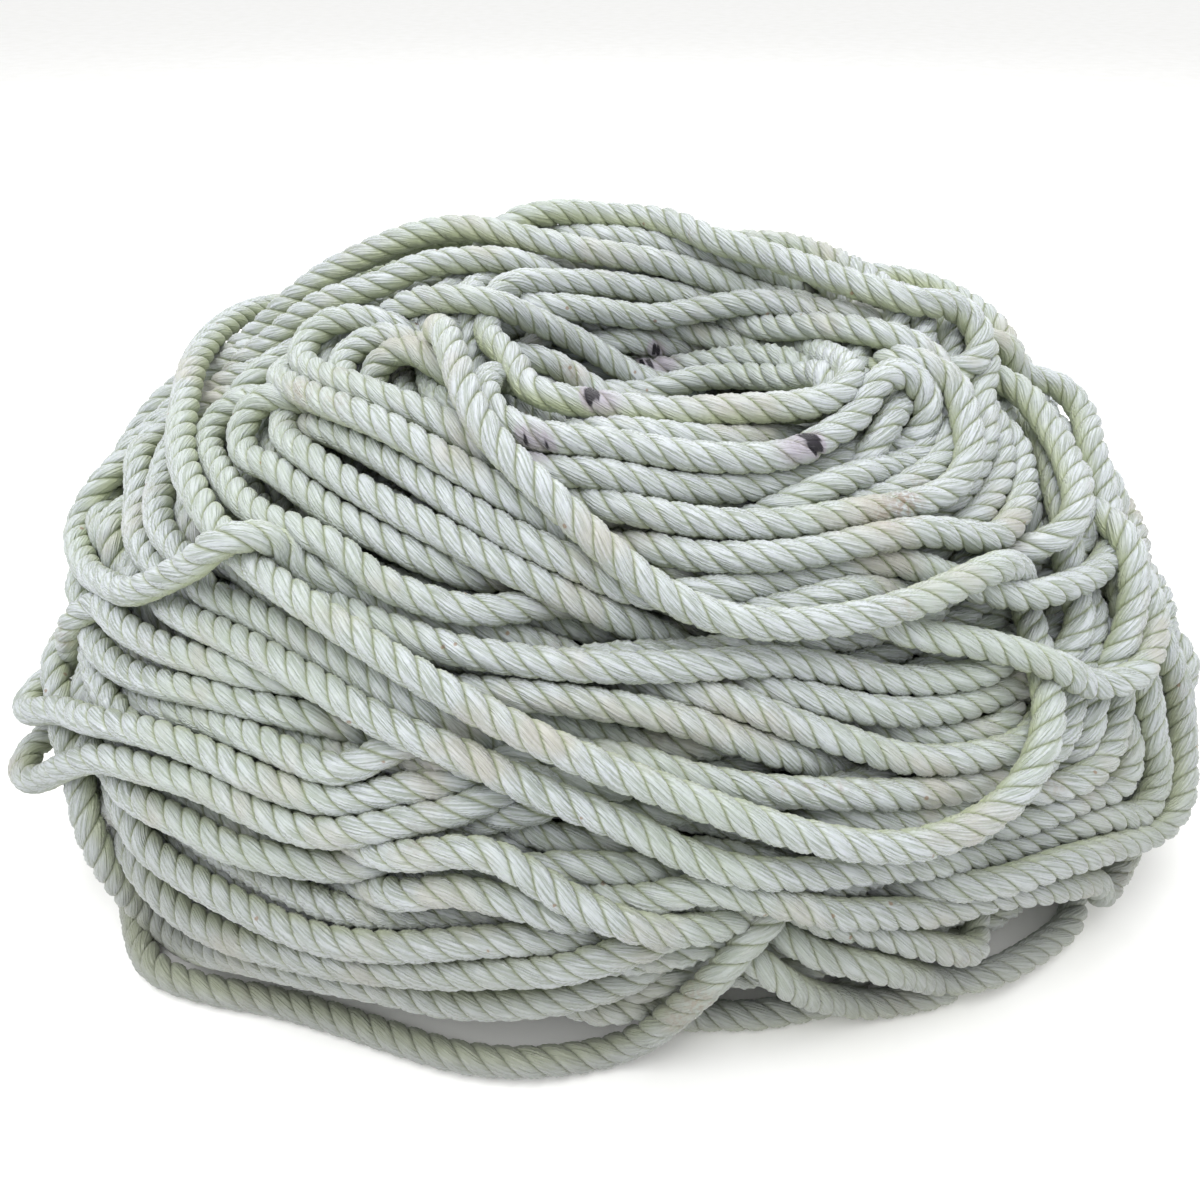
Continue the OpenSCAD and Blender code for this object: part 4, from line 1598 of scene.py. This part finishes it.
@dataclass
class StrandedRope:
    """Turns the rope's settled middle line into pieces of three-strand rope."""

    line: RopeLine
    marks: list[Mark]
    shown_sides: int = 30
    inner_sides: int = 12
    most_triangles: int = 196_000
    flatness: float = 3.2
    crowding: float = 0.5
    yarn_slant: float = 0.45
    # How strongly facing into the heap sets the painted olive shade:
    turning_in: float = 0.62
    step_blend: int = 6
    bake_rows: int = 16
    bake_margin: float = 0.06
    bake_slack: float = 1.0001
    bake_left: float = 0.002
    bake_width: float = 0.99
    bake_over: float = 1.01

    def __post_init__(self) -> None:
        """Reads the line off at the rings, and carries an untwisted frame along it."""
        along = arc_lengths(self.line.points)
        steps = np.array([RING_STEP[k] for k in Kind])[self.line.kind]
        for shift in (self.step_blend, -self.step_blend):
            steps = np.minimum(steps, np.roll(steps, shift))
        rings_at = np.r_[0.0, np.cumsum(np.diff(along) / steps[:-1])]
        count = int(rings_at[-1])
        want = np.interp(np.arange(count + 1) * rings_at[-1] / count, rings_at, along)
        knots = np.interp(want, along, np.arange(len(along)))
        self.middles = smooth_line(self.line.points, knots)
        self.along = arc_lengths(self.middles)
        self.source = np.clip(np.round(knots).astype(int), 0, len(along) - 1)
        self.outward = self.line.outward[self.source]
        self.heading = unit(np.gradient(self.middles, axis=0))
        side = np.cross(self.heading[0], [0.0, 0.0, 1.0])
        side /= np.linalg.norm(side)
        sides = [side]
        for head in self.heading[1:]:
            side = side - head * float(side @ head)
            side = side / math.sqrt(float(side @ side))
            sides.append(side)
        self.side = np.array(sides)
        self.rise = np.cross(self.heading, self.side)
        log.info("%.2f m of rope in %d rings", self.along[-1], count + 1)

    def section(self, sides: int) -> tuple[Array, Array]:
        """Gives where a section's corners lie round it, from 0 to 1, and how deep in a groove each is."""
        per_strand = sides // ROPE.strands
        t = np.arange(sides) / per_strand
        place = t - self.crowding * np.sin(2 * math.pi * t) / (2 * math.pi)
        return place / ROPE.strands, np.abs(place % 1 * 2 - 1) ** self.flatness

    def plan(self) -> list[tuple[int, int, int]]:
        """Splits the rope into pieces, each with its first ring, its last ring and its sides."""
        core = np.flatnonzero(self.line.name[self.source] == "core")
        bounds = [0, int(core[0]), int(core[-1]), len(self.middles) - 1]
        pieces = []
        all_sides = (self.shown_sides, self.inner_sides, self.shown_sides)
        for first, last, sides in zip(bounds[:-1], bounds[1:], all_sides):
            parts = math.ceil((last - first) * 2 * sides / self.most_triangles)
            cuts = [first + (last - first) * k // parts for k in range(parts + 1)]
            pieces += [(a, b, sides) for a, b in zip(cuts[:-1], cuts[1:])]
        return pieces

    def piece(self, name: str, first: int, last: int, sides: int) -> bpy.types.Object:
        """Builds one piece of rope between two rings.

        Args:
            name: The piece's name.
            first: Its first ring.
            last: Its last ring.
            sides: How many corners its section has.

        Returns:
            The piece.
        """
        place, groove = self.section(sides)
        ring = np.arange(first, last + 1)
        count = len(ring)
        turn = 2 * math.pi * (place[None] + self.along[ring][:, None] / ROPE.lay_length)
        side, rise = self.side[ring][:, None], self.rise[ring][:, None]
        out = np.cos(turn)[..., None] * side + np.sin(turn)[..., None] * rise
        share = 1 - ROPE.groove_depth * groove
        body = self.middles[ring][:, None] + ROPE.radius * share[None, :, None] * out
        points = np.vstack([body.reshape(-1, 3), self.middles[[first, last]]])
        i, j = (g.ravel() for g in np.meshgrid(np.arange(count - 1), np.arange(sides), indexing="ij"))
        after = (j + 1) % sides
        here, ahead = i * sides, (i + 1) * sides
        quads = np.column_stack([here + j, here + after, ahead + after, ahead + j])
        rim, base = np.arange(sides), (count - 1) * sides
        start_cap = np.column_stack([np.full(sides, count * sides), (rim + 1) % sides, rim])
        end_cap = np.column_stack([np.full(sides, count * sides + 1), base + rim, base + (rim + 1) % sides])
        loops = np.concatenate([quads.ravel(), start_cap.ravel(), end_cap.ravel()])
        totals = np.concatenate([np.full(len(quads), 4), np.full(2 * sides, 3)])
        mesh = bpy.data.meshes.new(name)
        mesh.vertices.add(len(points))
        mesh.vertices.foreach_set("co", points.astype(np.float32).ravel())
        mesh.loops.add(len(loops))
        mesh.loops.foreach_set("vertex_index", loops.astype(np.int32))
        mesh.polygons.add(len(totals))
        mesh.polygons.foreach_set("loop_start", (np.cumsum(totals) - totals).astype(np.int32))
        mesh.update(calc_edges=True)
        mesh.polygons.foreach_set("use_smooth", np.ones(len(totals), bool))
        self.mark_grooves(mesh, sides, count)
        # How far each side faces into the heap, which sets a painted olive shade there:
        facing = np.einsum("ijk,ik->ij", out, self.outward[ring]).ravel()
        turned_in = np.clip(0.5 - self.turning_in * facing, 0, 1)
        # The groove depth also sets painted shade in the grooves.
        values = {"groove": np.r_[np.tile(groove, count), 0.5, 0.5], "turned_in": np.r_[turned_in, 0.5, 0.5]}
        values.update({soil.value: self.soiled(points, first, last, soil) for soil in Soil})
        for attribute, value in values.items():
            layer = mesh.attributes.new(attribute, "FLOAT", "POINT")
            layer.data.foreach_set("value", value.astype(np.float32))
        self.unwrap(mesh, ring, sides, i, j)
        mesh.validate()
        return new_object(name, mesh)

    def soiled(self, points: Array, first: int, last: int, soil: Soil) -> Array:
        """Gives how strongly each of a piece's points is marked with one kind of soil, from 0 to 1."""
        strength = np.zeros(len(points))
        low, high = self.middles[first : last + 1].min(0), self.middles[first : last + 1].max(0)
        for mark in self.marks:
            reach = 2 * mark.reach
            if mark.soil is not soil or np.any(mark.place < low - reach) or np.any(mark.place > high + reach):
                continue
            gap = ((points - mark.place) ** 2).sum(1) / mark.reach**2
            strength = np.maximum(strength, mark.strength * np.exp(-gap))
        return strength

    @staticmethod
    def mark_grooves(mesh: bpy.types.Mesh, sides: int, count: int) -> None:
        """Marks the edges along the bottoms of the grooves as sharp."""
        ends = np.zeros(2 * len(mesh.edges), np.int32)
        mesh.edges.foreach_get("vertices", ends)
        a, b = ends.reshape(-1, 2).T
        in_groove = (a % sides == b % sides) & (a % (sides // ROPE.strands) == 0)
        along = in_groove & (np.maximum(a, b) < count * sides)
        mesh.attributes.new("sharp_edge", "BOOLEAN", "EDGE").data.foreach_set("value", along)

    def unwrap(self, mesh: bpy.types.Mesh, ring: Array, sides: int, i: Array, j: Array) -> None:
        """Gives the piece its two UV maps: the yarn's run in metres, and rows for baking.

        Args:
            mesh: The piece's mesh.
            ring: The numbers of its rings.
            sides: How many corners its section has.
            i: Each side face's ring, counted from the piece's first.
            j: Each side face's place round the ring.
        """
        place = np.r_[self.section(sides)[0], 1.0]
        along = self.along[ring]
        ring_of = np.column_stack([i, i, i + 1, i + 1])
        side_of = np.column_stack([j, j + 1, j + 1, j])
        girth = math.pi * ROPE.diameter
        strand = (j // (sides // ROPE.strands))[:, None]
        round_it = girth * (place[side_of] + along[ring_of] / ROPE.lay_length + strand)
        yarn = np.stack([round_it - self.yarn_slant * along[ring_of], along[ring_of]], -1).reshape(-1, 2)
        row_length = (along[-1] - along[0]) / self.bake_rows * self.bake_slack
        row = np.minimum((along[i] - along[0]) / row_length, self.bake_rows - 1).astype(int)[:, None]
        u = np.clip((along[ring_of] - along[0] - row * row_length) / row_length, 0, self.bake_over)
        v = (row + self.bake_margin + (1 - 2 * self.bake_margin) * place[side_of]) / self.bake_rows
        bake = np.stack([self.bake_left + self.bake_width * u / self.bake_over, v], -1).reshape(-1, 2)
        caps = np.zeros((2 * 3 * sides, 2))
        for name, values in (("yarn", yarn), ("OFBake", bake)):
            layer = mesh.uv_layers.new(name=name)
            layer.data.foreach_set("uv", np.vstack([values, caps + values[:1]]).astype(np.float32).ravel())


# ---- Finishes ----

Material = bpy.types.Material
Socket = bpy.types.NodeSocket
Range = tuple[float, ...]


def linear(hex_colour: str) -> tuple[float, float, float, float]:
    """Turns an sRGB colour such as "#e8eee2" to linear."""
    values = [int(hex_colour[k : k + 2], 16) / 255 for k in (1, 3, 5)]
    r, g, b = (v / 12.92 if v <= 0.04045 else ((v + 0.055) / 1.055) ** 2.4 for v in values)
    return r, g, b, 1.0


def add_node(
    material: Material, kind: str, settings: Optional[dict] = None, links: Optional[dict] = None
) -> bpy.types.Node:
    """Adds a node to a material.

    Args:
        material: The material.
        kind: The node's type.
        settings: Values by property name or by input's name or number.
        links: Outputs by the input's name or number that they go to.

    Returns:
        The node.
    """
    tree = material.node_tree
    node = tree.nodes.new(kind)
    for key, value in (settings or {}).items():
        if isinstance(key, str) and hasattr(node, key):
            setattr(node, key, value)
        else:
            node.inputs[key].default_value = value
    for key, output in (links or {}).items():
        tree.links.new(output, node.inputs[key])
    return node


def blank_material(name: str) -> Material:
    """Makes a material without nodes."""
    material = bpy.data.materials.new(name)
    material.use_nodes = True
    material.node_tree.nodes.clear()
    return material


@dataclass(frozen=True)
class LaidNylon:
    """Laid nylon: bright filament yarn twisted into strands and laid up.

    It gives the eye silky strands with fine yarns along them, lit by painted highlights and darkened
    by painted shade between them, a green-white with painted olive shade on the sides turned into the
    heap, painted shade in the thin grooves and towards the floor, and old rust, grit and ink. Each range
    says where a colour starts to show, where it shows most, and its highest share.
    """

    # The yarns' light end is a painted highlight; their dark end is the nylon's tone with painted shade
    # between the yarns:
    crest: str = "#c7cdd1"
    body: str = "#9da59e"
    # Painted olive shade on the sides that face into the heap:
    turned_in: str = "#b4bd98"
    # Painted shade in the grooves between the strands:
    groove: str = "#98a17b"
    mint: str = "#afbaaa"
    worn: str = "#b5b1a6"
    # Painted shade towards the floor:
    ground_dirt: str = "#85877f"
    rust: str = "#8a6d52"
    ink: str = "#17101d"
    ink_halo: str = "#a595a8"
    # Real yarns lie closer, and are drawn this far apart so that they show:
    yarn_mm: float = 0.8
    yarn_run_mm: float = 14.0
    yarn_relief_mm: float = 0.9
    tint_mm: float = 70.0
    wear_mm: float = 38.0
    grain_mm: float = 1.6
    speck_mm: float = 17.0
    yarn_range: Range = (0.32, 0.62)
    mint_range: Range = (0.45, 0.68, 0.4)
    worn_range: Range = (0.52, 0.72, 0.7)
    turned_in_range: Range = (0.1, 0.85, 0.9)
    groove_range: Range = (0.3, 1.0, 0.75)
    ground_range: Range = (0.12, 0.0, 0.7)
    grain_range: Range = (0.3, 0.62)
    rust_range: Range = (0.02, 0.9, 0.7)
    speck_range: Range = (0.06, 0.03, 0.75)
    halo_range: Range = (0.02, 0.2, 0.55)
    ink_range: Range = (0.28, 0.5)
    roughness: float = 0.34
    ior: float = 1.53
    sheen: float = 0.2
    sheen_roughness: float = 0.35
    glow_share: float = 0.2
    glow_reach: float = 0.003
    glow_colour: tuple[float, float, float] = (1.0, 1.15, 0.7)

    @staticmethod
    def tinted(m: Material, below: Socket, colour: str, share: Socket) -> Socket:
        """Lays a colour over another by a share, and gives the result."""
        settings = {"data_type": "RGBA", 7: linear(colour)}
        return add_node(m, "ShaderNodeMix", settings, {0: share, 6: below}).outputs[2]

    @staticmethod
    def ranged(m: Material, value: Socket, low: float, high: float, most: float = 1.0) -> Socket:
        """Maps a value's range to 0 and a highest share, smoothly."""
        settings = {"interpolation_type": "SMOOTHSTEP", "From Min": low, "From Max": high, "To Max": most}
        return add_node(m, "ShaderNodeMapRange", settings, {"Value": value}).outputs[0]

    def streaks(self, m: Material) -> Socket:
        """Gives the yarns' streaks along the strands, which set their painted highlights, the painted shade
        between them, and their bump.
        """
        along = add_node(m, "ShaderNodeUVMap", {"uv_map": "yarn"}).outputs[0]
        scale = (1000 / self.yarn_mm, 1000 / self.yarn_run_mm, 1.0)
        yarns = add_node(m, "ShaderNodeMapping", {"Scale": scale}, {"Vector": along}).outputs[0]
        settings = {"noise_dimensions": "2D", "Scale": 1.0, "Detail": 2.0, "Roughness": 0.55}
        return add_node(m, "ShaderNodeTexNoise", settings, {"Vector": yarns}).outputs["Fac"]

    def make(self) -> Material:
        """Makes the material."""
        m = blank_material("laid_nylon")
        place = add_node(m, "ShaderNodeTexCoord").outputs["Object"]
        streak = self.streaks(m)
        yarn = self.ranged(m, streak, *self.yarn_range)

        def mottled(size_mm: float, detail: float = 3.0) -> Socket:
            """Gives a soft mottle through the heap, with patches of a size."""
            settings = {"Scale": 1000 / size_mm, "Detail": detail}
            return add_node(m, "ShaderNodeTexNoise", settings, {"Vector": place}).outputs["Fac"]

        def marked(name: str) -> Socket:
            """Gives one of the mesh's own values."""
            return add_node(m, "ShaderNodeAttribute", {"attribute_name": name}).outputs["Fac"]

        # The yarns' painted highlights over the nylon's tone, which carries painted shade between the yarns:
        ends = {"data_type": "RGBA", 6: linear(self.body), 7: linear(self.crest)}
        tone = add_node(m, "ShaderNodeMix", ends, {0: yarn}).outputs[2]
        # The height over the floor, which sets the painted shade towards the floor:
        height = add_node(m, "ShaderNodeSeparateXYZ", {}, {0: place}).outputs["Z"]
        grain = self.ranged(m, mottled(self.grain_mm), *self.grain_range)
        times = {"operation": "MULTIPLY"}
        rusted = add_node(m, "ShaderNodeMath", times, {0: marked("rust"), 1: grain}).outputs[0]
        specks = add_node(m, "ShaderNodeTexVoronoi", {"Scale": 1000 / self.speck_mm}, {"Vector": place})
        inked = marked("ink")
        # Random mint tint and wear; painted shade on the sides facing into the heap, in the grooves and
        # towards the floor; then rust, specks and ink:
        for colour, value, reach in (
            (self.mint, mottled(self.tint_mm, detail=2.0), self.mint_range),
            (self.worn, mottled(self.wear_mm), self.worn_range),
            (self.turned_in, marked("turned_in"), self.turned_in_range),
            (self.groove, marked("groove"), self.groove_range),
            (self.ground_dirt, height, self.ground_range),
            (self.rust, rusted, self.rust_range),
            (self.rust, specks.outputs["Distance"], self.speck_range),
            (self.ink_halo, inked, self.halo_range),
            (self.ink, inked, self.ink_range),
        ):
            tone = self.tinted(m, tone, colour, self.ranged(m, value, *reach))
        relief = {"Strength": 1.0, "Distance": self.yarn_relief_mm / 1000}
        bump = add_node(m, "ShaderNodeBump", relief, {"Height": streak})
        gloss = {
            "Roughness": self.roughness,
            "IOR": self.ior,
            "Sheen Weight": self.sheen,
            "Sheen Roughness": self.sheen_roughness,
            "Subsurface Weight": self.glow_share,
            "Subsurface Scale": self.glow_reach,
            "Subsurface Radius": self.glow_colour,
        }
        links = {"Base Color": tone, "Normal": bump.outputs[0]}
        surface = add_node(m, "ShaderNodeBsdfPrincipled", gloss, links)
        add_node(m, "ShaderNodeOutputMaterial", {}, {"Surface": surface.outputs[0]})
        return m


@dataclass(frozen=True)
class PlainFinish:
    """A plain finish with a fine mottle."""

    name: str
    light: str
    dark: str
    roughness: float
    grain_mm: float
    detail: float = 4.0
    dark_to: float = 0.3
    light_from: float = 0.7

    def make(self) -> Material:
        """Makes the material."""
        m = blank_material(self.name)
        place = add_node(m, "ShaderNodeTexCoord").outputs["Object"]
        settings = {"Scale": 1000 / self.grain_mm, "Detail": self.detail}
        grain = add_node(m, "ShaderNodeTexNoise", settings, {"Vector": place})
        tone = add_node(m, "ShaderNodeValToRGB", {}, {"Fac": grain.outputs["Fac"]})
        for stop, colour, position in zip(
            tone.color_ramp.elements, (self.dark, self.light), (self.dark_to, self.light_from)
        ):
            stop.color, stop.position = linear(colour), position
        colour = {"Base Color": tone.outputs[0]}
        surface = add_node(m, "ShaderNodeBsdfPrincipled", {"Roughness": self.roughness}, colour)
        add_node(m, "ShaderNodeOutputMaterial", {}, {"Surface": surface.outputs[0]})
        return m


# Waxed linen twine is fawn and dull, with darker fibres in it:
WAXED_TWINE = PlainFinish("waxed_twine", "#b8ad92", "#8d8168", 0.6, 0.8)
# Nylon fused in a flame is an amber bead, glossy, and browner where it scorched:
FUSED_NYLON = PlainFinish("fused_nylon", "#cdbb8c", "#a58a58", 0.35, 2.5)
# Matt paper is near white, without gloss:
MATT_PAPER = PlainFinish("matt_paper", "#fbfbfa", "#f6f6f4", 0.9, 40.0)


# ---- The ends, the studio and the whole ----


@dataclass
class Whipping:
    """The waxed twine wound tightly round the rope by one of its ends."""

    end: str
    length: float = 0.022
    set_back: float = 0.004
    bore: float = 0.0056
    twine: float = 0.0007
    packing: float = 1.06
    corners: int = 44
    twine_corners: int = 10

    def build(self, tip: Array, heading: Array) -> bpy.types.Object:
        """Winds the twine.

        Args:
            tip: The end of the rope's middle line.
            heading: The direction in which the rope ends.

        Returns:
            The whipping.
        """
        turn = self.one_turn()
        turns = [turn]
        count = int(self.length / (2 * self.twine))
        facing = Vector(heading).to_track_quat("Z", "Y").to_matrix().to_4x4()
        for k in range(count):
            copy = turn if k == 0 else turn.copy()
            if k:
                copy.data = turn.data.copy()
                bpy.context.collection.objects.link(copy)
                turns.append(copy)
            back = self.set_back + self.twine + (self.length - 2 * self.twine) * k / (count - 1)
            copy.matrix_world = Matrix.Translation(Vector(tip - heading * back)) @ facing
        for one in turns:
            one.select_set(True)
        bpy.context.view_layer.objects.active = turn
        bpy.ops.object.join()
        bpy.ops.object.transform_apply(location=True, rotation=True, scale=True)
        bpy.ops.object.shade_smooth()
        turn.name = turn.data.name = f"{self.end}_whipping_turns"
        return turn

    def one_turn(self) -> bpy.types.Object:
        """Models one turn of the twine, pressed against the next along the rope."""
        bpy.ops.object.select_all(action="DESELECT")
        bpy.ops.mesh.primitive_torus_add(
            major_segments=self.corners,
            minor_segments=self.twine_corners,
            major_radius=self.bore + self.twine,
            minor_radius=self.twine,
        )
        turn = bpy.context.object
        bpy.ops.object.mode_set(mode="EDIT")
        bpy.ops.mesh.select_all(action="SELECT")
        bpy.ops.transform.resize(value=(1.0, 1.0, self.packing))
        bpy.ops.object.mode_set(mode="OBJECT")
        return turn


@dataclass(frozen=True)
class Lamp:
    """A square soft lamp, in metres and watts."""

    name: str
    place: tuple[float, float, float]
    size: float
    power: float

    def make(self, aim_at: tuple[float, float, float]) -> None:
        """Hangs the lamp and turns it to a point."""
        data = bpy.data.lights.new(self.name, "AREA")
        data.size, data.energy = self.size, self.power
        lamp = bpy.data.objects.new(self.name, data)
        bpy.context.collection.objects.link(lamp)
        lamp.location = self.place
        aim = np.array(aim_at) - np.array(self.place)
        tilt = math.acos(-aim[2] / np.linalg.norm(aim))
        lamp.rotation_euler = (tilt, 0, math.atan2(aim[1], aim[0]) - math.pi / 2)


@dataclass
class Studio:
    """A plain pale floor and plain soft light."""

    floor_size: float = 16.0
    sky: float = 0.96
    aim_at: tuple[float, float, float] = (0, 0, 0.1)
    lamps: tuple[Lamp, ...] = (
        Lamp("key", (-0.35, -0.4, 1.6), 1.1, 16.0),
        Lamp("fill", (1.2, -0.6, 1.0), 1.4, 1.0),
        Lamp("back", (0.1, 1.0, 1.5), 1.4, 13.0),
    )

    def make(self) -> None:
        """Builds the floor, the lamps and the background."""
        bpy.ops.object.select_all(action="DESELECT")
        bpy.ops.mesh.primitive_plane_add(size=self.floor_size, location=(0, 0, 0))
        floor = bpy.context.object
        floor.name = "floor"
        floor.data.materials.append(MATT_PAPER.make())
        world = bpy.data.worlds.new("studio")
        bpy.context.scene.world = world
        world.use_nodes = True
        background = world.node_tree.nodes["Background"]
        background.inputs["Color"].default_value = (1, 1, 1, 1)
        background.inputs["Strength"].default_value = self.sky
        for lamp in self.lamps:
            lamp.make(self.aim_at)
        bpy.context.scene.view_settings.view_transform = "Standard"


LOW_NODES = ["front_loop", "foot_run"]
MIDDLE_NODES = ["outer_turns"]
HIGH_NODES = ["eye_turn", "crossing_run", "right_hairpin", "long_diagonal", "back_run", "inner_turns"]


@dataclass
class RopeHeap:
    """The rope's pieces, its whippings and its fused ends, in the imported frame."""

    rope: StrandedRope
    nodes: dict
    end_rings: int = 4

    def build(self) -> None:
        """Builds and dresses all of it."""
        tails = {"low": self.tail("low", True), "high": self.tail("high", False)}
        nylon = LaidNylon().make()
        plan = self.rope.plan()
        last = len(plan) - 1
        stands_for = {0: LOW_NODES, last: HIGH_NODES}
        for k, (first, stop, sides) in enumerate(plan):
            piece = self.rope.piece(f"rope_{k + 1:02d}", first, stop, sides)
            piece.data.materials.append(nylon)
            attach(piece, "root")
            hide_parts(*stands_for.get(k, MIDDLE_NODES))
            path = self.rope.middles[first : stop + 1]
            path = path[::-1] if k == 0 else path

    def tail(self, end: str, at_start: bool) -> list[bpy.types.Object]:
        """Winds a tail's whipping and finishes its fused strand ends.

        Args:
            end: The tail's name.
            at_start: Whether it is where the rope's middle line starts.

        Returns:
            The whipping and the strand ends.
        """
        line = self.rope.middles if at_start else self.rope.middles[::-1]
        whipping = Whipping(end).build(line[0], unit(line[0] - line[self.end_rings]))
        whipping.data.materials.append(WAXED_TWINE.make())
        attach(whipping, "root")
        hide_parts(f"whipping_{end}")
        low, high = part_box(f"whipping_{end}")
        corners = np.array([v.co for v in whipping.data.vertices])
        away = (np.array(low + high) - corners.min(0) - corners.max(0)) / 2
        log.info("%s: %.2f mm from its place", whipping.name, 1000 * float(np.linalg.norm(away)))
        fused = self.nodes[f"strand_ends_{end}"]
        fused.data.materials.clear()
        fused.data.materials.append(FUSED_NYLON.make())
        return [whipping, fused]


def main() -> None:
    """Builds the heap's pieces in order."""
    logging.basicConfig(level=logging.INFO, format="%(message)s")
    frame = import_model()
    camera = StillCamera()
    camera.make()
    mound = Mound()
    line = HeapLayout(mound, Skin(mound, camera)).lay_out()
    line.points = Settling().settle(line)
    RopeHeap(StrandedRope(line, marks_on(line, camera)), frame["nodes"]).build()
    Studio().make()


if __name__ == "__main__":
    main()
